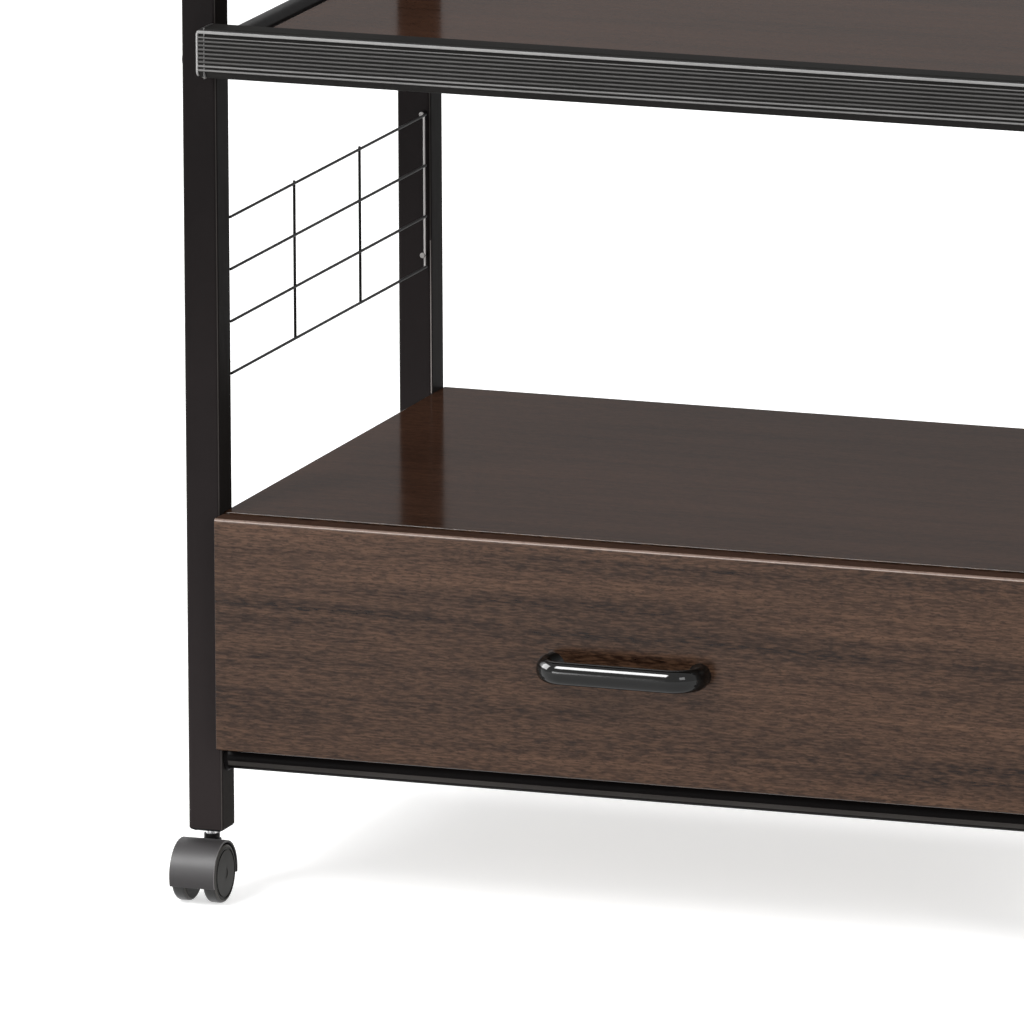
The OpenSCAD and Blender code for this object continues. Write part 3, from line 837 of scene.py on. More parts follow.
@dataclass
class Posts:
    """The four square tube posts with their caps and foot plugs."""

    corner_radius: float = 2.4 * MM
    corner_share: float = 0.6
    wall: float = 1.2 * MM
    hollow: float = 20 * MM
    cap_edge: float = 1.0 * MM
    cap_dish: tuple[float, float] = (2 * MM, 0.2 * MM)
    plug_edge: float = 0.5 * MM
    plug_rim: float = 0.4 * MM
    plug_depth: float = 4 * MM
    plug_dish: tuple[float, float] = (4 * MM, 0.3 * MM)
    # Height above the cabinet top of the rear posts' painted edge highlight
    lit: float = 110 * MM

    def build(self) -> None:
        """Build and dress the posts, caps and plugs."""
        caps, plugs = [], []
        for corner in Corner:
            node = f"post_{corner.tag}"
            post = Box.of(node)
            self.tube(node, post).place("frame", "post_steel", node)
            caps.append(self.cap(post))
            plugs.append(self.plug(post))
        for pieces, name, node in ((caps, "post_cap_set", "post_caps"),
                                   (plugs, "foot_plug_set", "foot_plugs")):
            joined = Piece.merge(name, pieces).smooth().paint(BLACK_PLASTIC)
            joined.place("frame", "black_plastic", node)

    def tube(self, node: str, post: Box) -> Piece:
        """One post: a block with rounded edges, hollowed from both ends.

        Args:
            node: The CAD node's name.
            post: The post's box.

        Returns:
            The dressed post.
        """
        tube = Piece.block(f"{node}_tube", *post)
        tube.bevel(self.corner_radius, 5, runs(Z))
        rim = (post.high.x - post.low.x) / 2 - self.wall * 1.5
        for end in (-1, 1):
            tube.inset(self.wall, faces(Z, end))
            tube.push((0, 0, -end * self.hollow), lambda at, normal: normal.z * end > FLAT
                      and abs(at.x - post.mid.x) < rim and abs(at.y - post.mid.y) < rim)
        floor = Box.of("cabinet_top").high.z
        rear = post.low.y > 0
        # The rear posts are cut at the cabinet top and above it, to bound their painted edge
        # highlight
        for z in (floor, floor + self.lit) if rear else ():
            tube.cut((0, 0, z), (0, 0, 1))
        # The posts' black with painted floor light
        tube.smooth().paint(POST_PAINT)
        # The sides take the less reflecting copy: painted shade
        tube.paint(POST_SIDE_SHADE, lambda at, normal: abs(normal.x) > ALONG)
        least = self.corner_share
        # Painted highlight on all four rounded corners
        tube.paint(POST_EDGE_HIGHLIGHT, lambda at, normal: min(abs(normal.x), abs(normal.y)) > least)
        # Painted highlight on the rear posts' front inner corner, from the cabinet top up by the
        # lit height
        return tube.paint(EDGE_GLINT, lambda at, normal: rear and floor < at.z < floor + self.lit
                          and normal.y < -least and abs(normal.x) > least and normal.x * at.x < 0)

    def cap(self, post: Box) -> Piece:
        """One post cap: a flat lid with a rounded rim.

        Args:
            post: The post's box.

        Returns:
            The cap, not yet dressed.
        """
        low, high = post
        top = Box.of("post_caps").high.z
        lid = Piece.block("cap", (low.x, low.y, high.z), (high.x, high.y, top))
        lid.bevel(self.corner_radius, 5, runs(Z))
        lid.bevel(self.cap_edge, 3, lambda at, way: at.z > top - NEAR)
        border, depth = self.cap_dish
        return lid.inset(border, faces(Z), -depth)

    def plug(self, post: Box) -> Piece:
        """One foot plug: a flange under the tube with a hole for the stem.

        Args:
            post: The post's box.

        Returns:
            The plug, not yet dressed.
        """
        (low, high), edge = post, self.plug_edge
        bottom = Box.of("foot_plugs").low.z
        flange = Piece.block("plug", (low.x + edge, low.y + edge, bottom),
                             (high.x - edge, high.y - edge, low.z + self.plug_depth))
        flange.bevel(self.corner_radius, 4, runs(Z))
        flange.bevel(self.plug_rim, 2, lambda at, way: at.z < bottom + NEAR)
        border, depth = self.plug_dish
        flange.inset(border, faces(Z, -1, ALONG))
        return flange.push((0, 0, depth), lambda at, normal: normal.z < -ALONG
                           and abs(at.x - post.mid.x) < MM)


@dataclass
class Tubes:
    """The ten round cross tubes, welded between the posts."""

    sides: int = 40
    weld: float = 2.6 * MM
    weld_rise: float = 1.4 * MM
    weld_rings: tuple[tuple[float, float], ...] = ((1.0, 0.0), (0.62, 0.75), (0.25, 1.0),
                                                   (0.0, 0.5))
    # The upward shares of the normals that take the painted reflection band
    sheen: tuple[float, float] = (-0.62, -0.1)

    def build(self) -> None:
        """Build and dress the tubes."""
        names = [f"rail_{way}" for way in ("front", "rear", "left", "right")]
        names += [f"{level}_tube_{way}" for level in ("mid", "top")
                  for way in ("left", "right", "rear")]
        for node in names:
            self.tube(node).place("frame", "tube_steel", node)

    def tube(self, node: str) -> Piece:
        """One tube: a rod with a weld bead raised round each end.

        Args:
            node: The CAD node's name.

        Returns:
            The dressed tube.
        """
        space = Box.of(node)
        low, high = space
        along = X if high.x - low.x > high.y - low.y else Y
        start, end, way = space.mid, space.mid, Vector((0, 0, 0))
        start[along], end[along], way[along] = low[along], high[along], 1
        radius = (high.z - low.z) / 2
        tube = Piece.rod(f"{node}_round", start, end, radius, self.sides)
        for edge, inward in ((start, way), (end, -way)):
            for share, rise in self.weld_rings:
                spot = edge + inward * self.weld * share
                if share:
                    tube.cut(spot, way)
                factors = [1 + self.weld_rise * rise / radius] * 3
                factors[along] = 1
                tube.swell(factors, spot, lambda at, normal: abs(at[along] - spot[along]) < NEAR)
        tube.smooth(50).paint(BLACK_PAINT)
        lowest, highest = self.sheen
        # Painted reflection: a lighter band low on both sides of the tube
        return tube.paint(TUBE_SHEEN, lambda at, normal: lowest < normal.z < highest
                          and abs(normal[along]) < 0.5)


@dataclass
class WireGrids:
    """The two welded wire grids between front and rear posts, held by pegs in the posts."""

    wire: float = 2.0 * MM
    sink: float = 0.2
    reach: float = 1.4 * MM
    end_gap: float = 3.0 * MM
    rounding: float = 0.42
    peg: float = 4.0 * MM
    peg_rounding: float = 0.14
    peg_rise: float = 8.0 * MM
    peg_past: float = 0.6 * MM
    long_wires: int = 4
    uprights: int = 4
    sides: int = 16

    def build(self) -> None:
        """Build and dress both grids."""
        for side in Side:
            node = f"grid_{side.tag}"
            self.grid(side, node).place("frame", "wire_steel", node)

    def wire_rod(self, start: Point, end: Point, thick: float, rounding: float) -> Piece:
        """One wire or peg with rounded ends.

        Args:
            start: The middle of one end.
            end: The middle of the other end.
            thick: The diameter.
            rounding: The share of the diameter that the ends' rounding takes.

        Returns:
            The dressed rod.
        """
        rod = Piece.rod("wire", start, end, thick / 2, self.sides)
        long_way = (Vector(end) - Vector(start)).normalized()
        rod.bevel(thick * rounding, 4, lambda at, way: abs(way.dot(long_way)) < ASIDE)
        return rod.paint(WIRE_PAINT)

    def grid(self, side: Side, node: str) -> Piece:
        """One grid: long wires, uprights welded to their outer side, and four pegs.

        Args:
            side: The grid's side.
            node: The CAD node's name.

        Returns:
            The dressed grid.
        """
        space, out, half = Box.of(node), side.value, self.wire / 2
        x_long = (space.low.x if side is Side.RIGHT else space.high.x) + out * half
        x_up = x_long + out * self.wire * (1 - self.sink)
        x_peg = x_up + out * half
        post_front, post_rear = Box.of("post_fl").high.y, Box.of("post_rl").low.y
        front, rear = post_front + self.end_gap + half, post_rear - self.end_gap - half
        bottom, top = space.low.z + self.reach, space.high.z - self.peg / 2
        rods = []
        for i in range(self.long_wires):
            z = bottom + (top - bottom) * i / (self.long_wires - 1)
            rods.append(self.wire_rod((x_long, front, z), (x_long, rear, z), self.wire,
                                      self.rounding))
        for i in range(self.uprights):
            y = front + (rear - front) * i / (self.uprights - 1)
            rods.append(self.wire_rod((x_up, y, bottom - self.reach), (x_up, y, top + self.reach),
                                      self.wire, self.rounding))
            # Painted highlight on the inward faces of the end uprights
            if i in (0, self.uprights - 1):
                rods[-1].paint(WIRE_GLINT, lambda at, normal: normal.x * out < 0
                               and abs(normal.z) < ASIDE)
        for post, end, way in ((post_front, front, 1), (post_rear, rear, -1)):
            tip = end + way * (half + self.peg_past)
            for z in (bottom + self.peg_rise, top):
                peg = self.wire_rod((x_peg, post - way * MM, z), (x_peg, tip, z), self.peg,
                                    self.peg_rounding)
                # Painted highlight on the pegs' tips
                rods.append(peg.paint(PEG_GLINT, lambda at, normal: normal.y * way > 0.3))
        return Piece.merge(f"{node}_wires", rods).smooth(50)


@dataclass
class Shelf:
    """One shelf: a laminated board, the grooved moulding along its front and two end caps."""

    level: str
    board_edge: float = 0.7 * MM
    tongue: float = 9 * MM
    tongue_drop: float = 3 * MM
    ridge_rise: float = 1.2 * MM
    ridge_count: int = 9
    ridge_pitch: float = 2.85 * MM
    ridge_radius: float = 1.1 * MM
    ridge_land: float = 0.3 * MM
    bead_radius: float = 2.6 * MM
    cove: float = 0.9 * MM
    lip_back: float = 3 * MM
    lip_edge: float = 0.8 * MM
    end_radius: float = 5 * MM
    rim: float = 1.3 * MM
    seam: float = 0.7 * MM
    plate_edge: float = 0.3 * MM
    step: float = 0.05 * MM

    def build(self) -> None:
        """Build and dress the board, the moulding and the end caps."""
        self.board().place("frame", "walnut_board", f"{self.level}_board")
        node = f"{self.level}_moulding"
        bar = self.two_tone(self.grooved(f"{node}_bar", Box.of(node)), Box.of(node))
        bar.place("frame", "moulding_plastic", node)
        self.end_caps().place("frame", "end_cap_plastic", f"{self.level}_end_caps")

    def board(self) -> Piece:
        """The board with its tongue and softened edges.

        Returns:
            The dressed board.
        """
        node = f"{self.level}_board"
        low, high = Box.of(node)
        face = low.y + self.tongue
        board = Piece.block("board", (low.x, face, low.z), high).bevel(self.board_edge, 3)
        strip = Piece.block("tongue", low, (high.x, face + MM, high.z - self.tongue_drop))
        strip.bevel(self.board_edge, 2, lambda at, way: at.y < face)
        panel = Piece.merge(f"{node}_panel", [board, strip]).smooth()
        # Rounded edges take the painted walnut highlight
        # Upward faces take the walnut's top copy: painted light on the tops
        return panel.paint(WALNUT).paint(WALNUT_TOP, faces(Z)).paint(WALNUT_EDGE_HIGHLIGHT, oblique)

    def profile(self, low: float, high: float) -> list[tuple[float, float]]:
        """The front's outline from the bead down: heights, and shifts back from the ridges' feet.

        Args:
            low: The height of the lower edge.
            high: The height of the upper edge.

        Returns:
            The heights with their shifts.
        """
        def arc(height: float, centre: float, radius: float, *degrees: float) -> None:
            """Add points of a round."""
            for angle in map(math.radians, degrees):
                rows.append((height + radius * math.sin(angle), centre - radius * math.cos(angle)))

        rows: list[tuple[float, float]] = []
        bead, ridge = self.bead_radius, self.ridge_radius
        arc(high - bead, bead - self.ridge_rise, bead, 90, 65, 42, 20, 0, -14, -24)
        arc(high - 2 * bead + self.ridge_rise / 2, 0, -self.cove, -80, -40, 0, 40, 80)
        crest = high - 2 * bead - self.ridge_rise
        arc(crest, 0, ridge, 52, 18, -18, -50, -90)
        for _ in range(1, self.ridge_count):
            crest -= self.ridge_pitch
            arc(crest, 0, ridge, 90, 50, 18, -18, -50, -90)
        lip_top = crest - ridge - self.ridge_land
        return rows + [(lip_top, 0), (lip_top - self.step, self.lip_back), (low, self.lip_back)]

    def grooved(self, name: str, space: Box) -> Piece:
        """A length of the moulding: a bead on top, a cove, fine ridges, and a lip set back.

        Args:
            name: The piece's name.
            space: The length's box.

        Returns:
            The length, not yet dressed.
        """
        low, high = space
        face = low.y + self.ridge_rise
        bar = Piece.block(name, (low.x, face, low.z), high)
        rows = self.profile(low.z, high.z)
        for z, _ in rows[1:-1]:
            bar.cut((0, 0, z), (0, 0, 1))
        for z, back in rows:
            if back:
                bar.move((0, back, 0), lambda at, normal: abs(at.y - face) < NEAR
                         and abs(at.z - z) < NEAR)
        return bar.bevel(self.lip_edge, 2, lambda at, way: abs(way.x) > ALONG
                         and at.z < low.z + NEAR)

    def two_tone(self, bar: Piece, space: Box) -> Piece:
        """Smooth a grooved length, give it the dark plastic, and paint highlights on its tops, its
        ridges' crests and its bead.

        Args:
            bar: The length.
            space: Its box.

        Returns:
            The dressed length.
        """
        def crest(at: Vector, normal: Vector) -> bool:
            """Whether a face lies on a ridge's crest."""
            return at.y < shine and normal.z > -0.3 and at.z < bead_low

        top = space.high.z
        shine = space.low.y + self.ridge_rise - self.ridge_radius * 0.6
        bead_low = top - 2 * self.bead_radius
        first = bead_low - self.ridge_rise - self.ridge_pitch / 2
        last = first - (self.ridge_count - 3) * self.ridge_pitch
        # The dark plastic all over, and its lighter top copy on upward faces: painted light on the
        # tops
        bar.smooth(45).paint(GROOVE_PLASTIC).paint(LIT_TOP_PLASTIC, faces(Z, 1, ALONG))
        # Painted highlights on the ridges' crests, stronger on the first and the two lowest
        bar.paint(RIDGE_HIGHLIGHT, crest)
        bar.paint(STRONG_RIDGE_HIGHLIGHT, lambda at, normal: crest(at, normal) and not last < at.z < first)
        # Painted highlight on the front of the bead
        return bar.paint(BEAD_HIGHLIGHT, lambda at, normal: at.z > top - 1.5 * self.bead_radius
                         and -0.4 < normal.z < 0.3 and normal.y < -0.3)

    def end_caps(self) -> Piece:
        """The two end caps: short grooved lengths with a rim and a seam, rounded at the corners.

        Returns:
            The dressed caps.
        """
        space = Box.of(f"{self.level}_end_caps")
        (low, high), rim, seam = space, self.rim, self.seam
        thick = Box.of(f"{self.level}_moulding").low.x - low.x
        parts = []
        for x in (low.x, high.x - thick):
            cap = self.grooved("cap", Box(Vector((x, low.y, low.z)),
                                          Vector((x + thick, high.y, high.z))))
            cap = self.two_tone(self.rounded(cap, space), space)
            # Painted highlights on the caps' upward faces and on their lower front edges
            cap.paint(RIDGE_HIGHLIGHT, faces(Z, 1, ALONG))
            parts.append(cap.paint(END_CAP_HIGHLIGHT, lambda at, normal: at.z < low.z + MM
                                   and normal.y < -0.2 and normal.z < -0.2))
        # Rims and seams are thin plates with painted highlights
        for x, width, back, finish in ((low.x, rim, 0, END_CAP_HIGHLIGHT),
                                       (high.x - rim, rim, 0, END_CAP_HIGHLIGHT),
                                       (low.x + thick - seam, seam, seam / 2, STRONG_RIDGE_HIGHLIGHT),
                                       (high.x - thick, seam, seam / 2, STRONG_RIDGE_HIGHLIGHT)):
            front = low.y + back
            plate = Piece.block("plate", (x, front, low.z - MM),
                                (x + width, high.y - MM, high.z + MM))
            self.rounded(plate, space)
            plate.bevel(self.plate_edge, 3, lambda at, way: at.y < front + NEAR)
            parts.append(plate.smooth().paint(finish))
        return Piece.merge(f"{self.level}_end_cap_pair", parts)

    def rounded(self, part: Piece, space: Box) -> Piece:
        """Trim a part to the end caps' outline with its rounded corners.

        Args:
            part: The part.
            space: The end caps' box.

        Returns:
            The trimmed part.
        """
        low, high = space
        form = Piece.block("form", (low.x, low.y - MM, low.z), (high.x, high.y + MM, high.z))
        form.bevel(self.end_radius, 6, runs(Y))
        return part.carve(form, "INTERSECT").weld()


@dataclass
class Cabinet:
    """The drawer cabinet's panels and the fixed runners."""

    edge: float = 0.7 * MM

    def build(self) -> None:
        """Build and dress the panels; the runners keep their CAD meshes."""
        for way in ("top", "left", "right", "back"):
            node = f"cabinet_{way}"
            panel = Piece.panel(node, self.edge, 3)
            panel.paint(WALNUT_SIDE if way in ("left", "right") else WALNUT)
            # Upward faces take the walnut's top copy: painted light on the tops
            panel.paint(WALNUT_TOP, faces(Z)).place("frame", "walnut_board", node)
        RUNNER_COAT.dress("runner_left", "runner_right")


@dataclass
class Drawer:
    """The drawer: its rounded front, the box behind it, the moving runners and the handle."""

    front_radius: float = 2.5 * MM
    front_end: float = 0.8 * MM
    box_edge: float = 0.8 * MM
    grip: tuple[float, float, int] = (11 * MM, 16 * MM, 48)
    bend: float = 23 * MM
    bend_steps: int = 14
    foot_flare: tuple[float, float, float] = (1.5, 1.0, 1.06)

    def build(self) -> None:
        """Build and dress the drawer."""
        self.front().place("drawer", "walnut_board", "drawer_front")
        for way in ("left", "right", "back", "bottom"):
            node = f"drawer_{way}"
            panel = Piece.panel(node, self.box_edge, 2)
            panel.paint(BOX_BOTTOM if way == "bottom" else BOX_FOIL)
            panel.place("drawer", "drawer_box", node)
        self.handle().place("drawer", "handle_plastic", "handle")
        RUNNER_COAT.dress("slide_left", "slide_right")

    def front(self) -> Piece:
        """The drawer front with its long edges rounded.

        Returns:
            The dressed front.
        """
        space = Box.of("drawer_front")
        panel = Piece.block("drawer_front_panel", *space)
        panel.bevel(self.front_radius, 5, runs(X))
        panel.bevel(self.front_end, 3, lambda at, way: abs(way.x) < ASIDE
                    and (at.x < space.low.x + NEAR or at.x > space.high.x - NEAR))
        # The top face takes the unreflecting copy: painted shade
        panel.smooth().paint(WALNUT).paint(DRAWER_TOP_SHADE, faces(Z))
        # The rounded top front edge takes the painted walnut highlight
        return panel.paint(WALNUT_EDGE_HIGHLIGHT, lambda at, normal: oblique(at, normal) and normal.z > 0.3
                           and normal.y < -0.1)

    def handle(self) -> Piece:
        """The handle: a straight bar, spun back at both ends and drawn out to its feet.

        Returns:
            The dressed handle.
        """
        space = Box.of("handle")
        low, high = space
        depth, height, sides = self.grip
        reach, turn_y = high.x - self.bend, low.y + self.bend
        middle, along = Vector((0, low.y + depth / 2, space.mid.z)), Vector((reach, 0, 0))
        bar = Piece.rod("handle_bar", middle - along, middle + along, height / 2, sides,
                        capped=False)
        bar.swell((1, depth / height, 1), middle)
        for sign in (1, -1):
            with bar.editing(Part.EDGES, lambda at, way: abs(at.x - sign * reach) < NEAR
                             and abs(way.x) < ASIDE):
                bpy.ops.mesh.spin(steps=self.bend_steps, angle=-sign * math.pi / 2, axis=(0, 0, 1),
                                  center=(sign * reach, turn_y, middle.z))
                bpy.ops.mesh.extrude_region_move(
                    TRANSFORM_OT_translate={"value": (0, high.y - turn_y, 0)})
                bpy.ops.mesh.edge_face_add()
            bar.swell(self.foot_flare, (sign * high.x, high.y, middle.z),
                      lambda at, normal: at.y > high.y - NEAR and at.x * sign > 0)
        return bar.weld().smooth(50).paint(HANDLE_PLASTIC)


@dataclass
class Casters:
    """The four twin-wheel casters."""

    hood_wall: float = 1.5 * MM
    hood_edge: float = 0.45 * MM
    hood_drop: float = 4 * MM
    crown: float = 3 * MM
    web: float = 12 * MM
    web_gap: float = 2.9 * MM
    web_edge: float = 0.4 * MM
    boss_low: float = 6 * MM
    boss_radius: float = 4 * MM
    boss_edge: float = 0.6 * MM
    trail: float = 17 * MM
    tread: float = 2.5 * MM
    ring: tuple[float, float, float] = (16.2 * MM, 17.4 * MM, 0.8 * MM)
    ring_edge: float = 0.18 * MM
    hub: float = 4 * MM
    hub_dish: tuple[float, float] = (0.5 * MM, 0.4 * MM)
    stem: float = 4 * MM
    collar: tuple[float, float] = (5.5 * MM, 0.3 * MM)
    shoulder: tuple[float, float, float] = (4.4 * MM, 4.2 * MM, 0.2 * MM)
    stem_edge: float = 0.5 * MM
    sides: int = 72

    def build(self) -> None:
        """Build and dress the casters; the axles keep their CAD meshes."""
        stems = []
        for corner in Corner:
            tag = corner.tag
            self.hood(tag).place(f"caster_{tag}", "hood_plastic", f"hood_{tag}")
            for side in Side:
                node = f"wheel_{tag}_{side.tag[0]}"
                self.wheel(node, side).place(node, "wheel_plastic", node)
            STEM_BLACK.dress(f"axle_{tag}")
            stems.append(self.stem_rod(tag))
        Piece.merge("stem_set", stems).smooth().place("frame", "stem_steel", "caster_stems")

    def stem_rod(self, tag: str) -> Piece:
        """One stem: a rod with a black collar over the hood and a bright shoulder under the plug.

        Args:
            tag: The caster's corner.

        Returns:
            The dressed stem.
        """
        x, y, _ = Box.of(f"post_{tag}").mid
        span = Box.of("caster_stems")
        seat, plug = Box.of(f"hood_{tag}").high.z - self.crown, Box.of("foot_plugs").low.z
        (collar, gap), (shoulder, rise, lap) = self.collar, self.shoulder
        rods = []
        for low, high, radius, sides, edge, steps, finish in (
                (span.low.z, span.high.z, self.stem, 32, self.stem_edge, 2, STEM_BLACK),
                (seat + gap, plug - rise, collar, 40, self.stem_edge, 3, STEM_BLACK),
                (plug - rise - lap, plug, shoulder, 40, lap, 2, STEM_ZINC)):
            rod = Piece.rod("stem", (x, y, low), (x, y, high), radius, sides)
            rods.append(rod.bevel(edge, steps, crosses(Z)).paint(finish))
        return Piece.merge("stem", rods)

    def hood(self, tag: str) -> Piece:
        """One hood: a barrel shell over the wheels, a web between them and the stem's boss.

        Args:
            tag: The caster's corner.

        Returns:
            The dressed hood.
        """
        space, half = Box.of(f"hood_{tag}"), self.web / 2
        (low, high), x = space, space.mid.x
        radius = Box.of(f"wheel_{tag}_l").high.z / 2
        outer = high.z - radius
        axle = Vector((x, low.y + outer, radius))
        shell = Piece.rod("shell", (low.x, axle.y, axle.z), (high.x, axle.y, axle.z), outer,
                          self.sides, capped=False)
        rear = axle.z - self.hood_drop
        for z in (low.z, rear):
            shell.cut((x, 0, z), (0, 0, -1))
        shell.drop_faces(lambda at, normal: at.z < low.z or (at.y > axle.y and at.z < rear))
        shell.modify("SOLIDIFY", thickness=self.hood_wall, offset=-1.0).soften(self.hood_edge, 3)
        web = Piece.rod("web", (x - half, axle.y, axle.z), (x + half, axle.y, axle.z),
                        outer - self.hood_wall - self.web_gap, self.sides)
        web.cut((x, 0, low.z), (0, 0, -1), drop=True).bevel(self.web_edge, 2, crosses(X))
        boss = Piece.block("boss", (x - half, axle.y, axle.z - self.boss_low),
                           (x + half, axle.y + self.trail + half, high.z - self.crown))
        boss.bevel(self.boss_radius, 5, lambda at, way: abs(way.z) > ALONG and at.y > axle.y + MM)
        boss.bevel(self.boss_edge, 3, lambda at, way: abs(way.z) < 0.5)
        hood = Piece.merge(f"hood_{tag}_shell", [shell, web, boss])
        hood.smooth(45).paint(HOOD_PLASTIC)
        # Painted highlight on the rounded rims
        return hood.paint(HOOD_HIGHLIGHT, lambda at, normal: 0.2 < abs(normal.x) < FLAT
                          and (at - axle).yz.length > outer - 0.5 * MM)

    def wheel(self, node: str, side: Side) -> Piece:
        """One wheel: a disc with a rounded tread, a ring groove and a hub boss on its face.

        Args:
            node: The CAD node's name.
            side: The side of the web that it runs on.

        Returns:
            The dressed wheel.
        """
        def face(at: Vector, normal: Vector) -> bool:
            """Whether a face is the one in the middle of the wheel's outer side."""
            return normal.x * out > FLAT and (at - middle).yz.length < MM

        space, out = Box.of(node), side.value
        (low, high), middle = space, space.mid
        radius = (high.z - low.z) / 2
        wheel = Piece.rod(f"{node}_disc", (low.x, middle.y, middle.z),
                          (high.x, middle.y, middle.z), radius, self.sides)
        wheel.bevel(self.tread, 5, crosses(X))
        inner_r, outer_r, depth = self.ring
        wheel.inset(radius - self.tread - outer_r, face).push((-out * depth, 0, 0), face)
        wheel.inset(outer_r - inner_r, face).push((out * depth, 0, 0), face)
        border, sunk = self.hub_dish
        wheel.inset(inner_r - self.hub, face).inset(border, face, -sunk).soften(self.ring_edge, 2)
        wheel.smooth(40).paint(WHEEL_PLASTIC)
        wheel.paint(TREAD_PLASTIC, lambda at, normal: abs(normal.x) < 0.5
                    and (at - middle).yz.length > radius / 2)
        # Painted highlight round the disc, by the tread
        return wheel.paint(WHEEL_HIGHLIGHT, lambda at, normal: 0.6 < abs(normal.x) < 0.92
                           and (at - middle).yz.length > radius - self.tread)


@dataclass
class Fasteners:
    """The shelf bolts, the frame screws and the handle screws."""

    bolt_radius: float = 5 * MM
    bolt_height: float = 3 * MM
    bolt_edge: float = 1.2 * MM
    socket: float = 2.3 * MM
    socket_depth: float = 1.8 * MM
    head_radius: float = 3.5 * MM
    head_height: float = 2.2 * MM
    head_edge: float = 1.1 * MM
    handle_head: float = 4 * MM
    screw_in: float = 14 * MM
    slot: tuple[float, float, float] = (3.6 * MM, 0.9 * MM, 1.2 * MM)

    def build(self) -> None:
        """Build and dress the bolts on the posts, and the screws in the cabinet and the drawer."""
        bolts, screws = [], []
        for corner in Corner:
            right = corner.value[X] > 0
            post = Box.of(f"post_{corner.tag}")
            panel = Box.of("cabinet_right" if right else "cabinet_left")
            out, back = (0, math.pi) if right else (math.pi, 0)
            x = post.high.x if right else post.low.x
            for board in ("mid_board", "top_board"):
                bolts.append(turned((x, post.mid.y, Box.of(board).mid.z), out))
            x = panel.low.x if right else panel.high.x
            for z in (panel.low.z + self.screw_in, panel.high.z - self.screw_in):
                screws.append(turned((x, post.mid.y, z), back))
        pair, y, radius = Box.of("handle_screws"), Box.of("drawer_front").high.y, self.handle_head
        grips = [turned((x, y, pair.mid.z), math.pi / 2)
                 for x in (pair.low.x + radius, pair.high.x - radius)]
        heads = self.spread(self.bolt_head(), "shelf_bolt_set", bolts)
        heads.paint(BOLT_BLACK).place("frame", "bolt_steel", "shelf_bolts")
        heads = self.spread(self.pan_head(self.head_radius), "frame_screw_set", screws)
        heads.paint(SCREW_ZINC).place("frame", "screw_steel", "frame_screws")
        heads = self.spread(self.pan_head(radius), "handle_screw_set", grips)
        heads.paint(SCREW_ZINC).place("drawer", "screw_steel", "handle_screws")

    def bolt_head(self) -> Piece:
        """A domed bolt head with a six-sided socket, its seat at the origin and facing +x.

        Returns:
            The head.
        """
        top = self.bolt_height
        head = Piece.rod("bolt", (-MM, 0, 0), (top, 0, 0), self.bolt_radius, 36)
        head.bevel(self.bolt_edge, 4, lambda at, way: at.x > top - NEAR)
        return head.carve(Piece.rod("key", (top - self.socket_depth, 0, 0), (top + MM, 0, 0),
                                    self.socket, 6))

    def pan_head(self, radius: float) -> Piece:
        """A pan head with a cross slot, its seat at the origin and facing +x.

        Args:
            radius: The head's radius.

        Returns:
            The head.
        """
        top = self.head_height
        head = Piece.rod("screw", (-MM, 0, 0), (top, 0, 0), radius, 32)
        head.bevel(self.head_edge, 4, lambda at, way: at.x > top - NEAR)
        length, width, depth = self.slot
        for y, z in ((length / 2, width / 2), (width / 2, length / 2)):
            head.carve(Piece.block("bit", (top - depth, -y, -z), (top + MM, y, z)))
        return head

    def spread(self, head: Piece, name: str, places: Sequence[Matrix]) -> Piece:
        """Copy a head to its places and join the copies.

        Args:
            head: The head, which is used up.
            name: The joined piece's name.
            places: Where the copies go.

        Returns:
            The joined piece.
        """
        copies = [head.copy(f"{name}_{i}", place) for i, place in enumerate(places)]
        bpy.data.meshes.remove(head.obj.data)
        return Piece.merge(name, copies).smooth(40)


@dataclass(frozen=True)
class Lamp:
    """One soft rectangular lamp, in metres and watts; a gloss lamp only makes highlights."""

    name: str
    spot: Point
    aim: Point
    size: tuple[float, float]
    watts: float
    gloss: bool = False

    def hang(self) -> None:
        """Hang the lamp at its spot, facing its aim."""
        light = bpy.data.lights.new(self.name, "AREA")
        light.shape = "RECTANGLE"
        light.size, light.size_y = self.size
        light.energy = self.watts
        lamp = bpy.data.objects.new(self.name, light)
        bpy.context.scene.collection.objects.link(lamp)
        way = Vector(self.aim) - Vector(self.spot)
        lamp.location = self.spot
        lamp.rotation_euler = way.to_track_quat("-Z", "Y").to_euler()
        lamp.visible_diffuse = not self.gloss


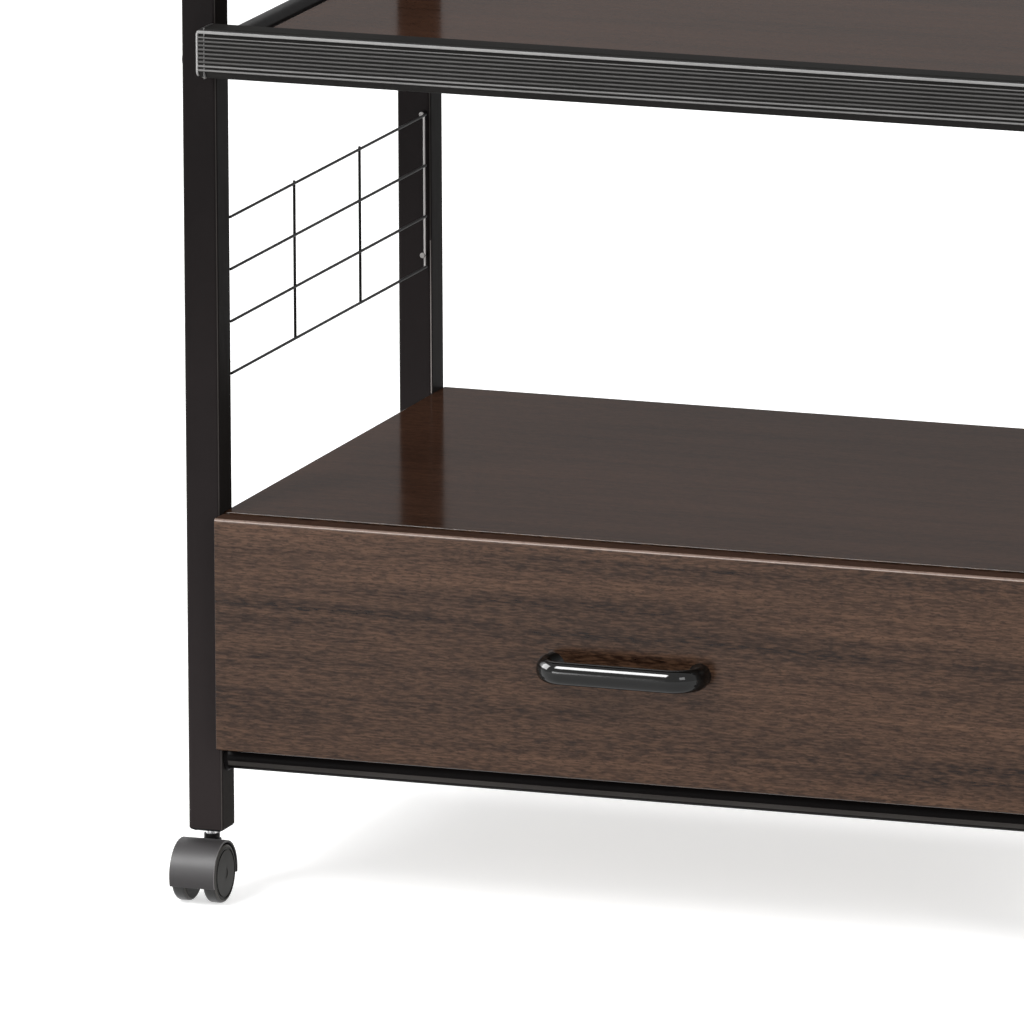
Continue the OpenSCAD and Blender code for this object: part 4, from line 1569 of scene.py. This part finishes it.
@dataclass
class Studio:
    """The pale floor, the soft lights, the white surroundings and the camera."""

    floor_size: float = 90.0
    ambient: float = 0.55
    lamps: tuple[Lamp, ...] = (
        Lamp("key", (-1.6, -3.4, 3.6), (0.0, 0.0, 0.45), (1.4, 1.6), 112.0),
        Lamp("glint", (-1.9, -3.6, 3.6), (0.0, 0.0, 0.3), (2.0, 1.8), 320.0, gloss=True),
        Lamp("side", (-3.6, -0.6, 1.7), (0.0, -0.2, 0.25), (2.4, 2.0), 250.0, gloss=True),
        Lamp("low", (-1.5, -2.6, 0.3), (-0.3, -0.2, 0.12), (1.2, 0.4), 16.0),
        Lamp("fill", (3.2, -3.6, 2.2), (0.0, 0.0, 0.4), (1.6, 1.6), 54.0),
        Lamp("rear", (-0.6, 3.2, 3.0), (0.0, 0.0, 0.4), (1.6, 1.0), 40.0))
    yaw: float = 20.234
    pitch: float = 12.477
    roll: float = 0.287
    lens: float = 595.8
    sensor: float = 36.0
    clip: tuple[float, float] = (0.1, 120.0)
    eye: tuple[float, float, float] = (3.7922, -10.7225, 2.7702)

    def build(self) -> None:
        """Build the floor, the world, the lights and the camera."""
        floor = Piece.start("floor", bpy.ops.mesh.primitive_plane_add, size=self.floor_size)
        floor.paint(FLOOR_WHITE).obj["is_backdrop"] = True
        self.surroundings()
        for lamp in self.lamps:
            lamp.hang()
        self.camera()

    def surroundings(self) -> None:
        """Make the world: white where it is seen, dimmer as a lamp."""
        world = bpy.data.worlds.new("studio")
        bpy.context.scene.world = world
        world.use_nodes = True
        sheet = Shading(world.node_tree)
        level = sheet.span(sheet.seen(), 0.0, 1.0, self.ambient, 1.0)
        sheet.surface({"Color": (1, 1, 1), "Strength": level})

    def camera(self) -> None:
        """Set up the camera, at the photograph's angle and distance."""
        data = bpy.data.cameras.new("camera")
        data.sensor_width, data.lens = self.sensor, self.lens
        data.clip_start, data.clip_end = self.clip
        eye = bpy.data.objects.new("camera", data)
        bpy.context.scene.collection.objects.link(eye)
        yaw, pitch, roll = (math.radians(a) for a in (self.yaw, self.pitch, self.roll))
        ahead = Vector((-math.sin(yaw) * math.cos(pitch), math.cos(yaw) * math.cos(pitch),
                        -math.sin(pitch)))
        level = Vector((math.cos(yaw), math.sin(yaw), 0))
        down = ahead.cross(level)
        right = level * math.cos(roll) + down * math.sin(roll)
        up = level * math.sin(roll) - down * math.cos(roll)
        turn = Matrix((right, up, -ahead)).transposed().to_4x4()
        eye.matrix_world = Matrix.Translation(self.eye) @ turn
        bpy.context.scene.camera = eye


def write_sizes() -> None:
    """Put the CAD box and the dressed model's box side by side in a dictionary, which is not kept.
    """
    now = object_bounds()
    ({"cad": [list(corner) for corner in CAD_BOX],
               "visual": [list(corner) for corner in now]})


def main() -> None:
    """Build the cart piece by piece, then the studio round it."""
    logging.basicConfig(level=logging.INFO, format="%(message)s")
    bpy.context.scene.view_settings.view_transform = "Standard"
    for assembly in (Posts(), Tubes(), WireGrids(), Shelf("mid"), Shelf("top"), Cabinet(), Drawer(),
                     Casters(), Fasteners(), Studio()):
        LOG.info("Building %s", type(assembly).__name__)
        assembly.build()
    write_sizes()


if __name__ == "__main__":
    main()
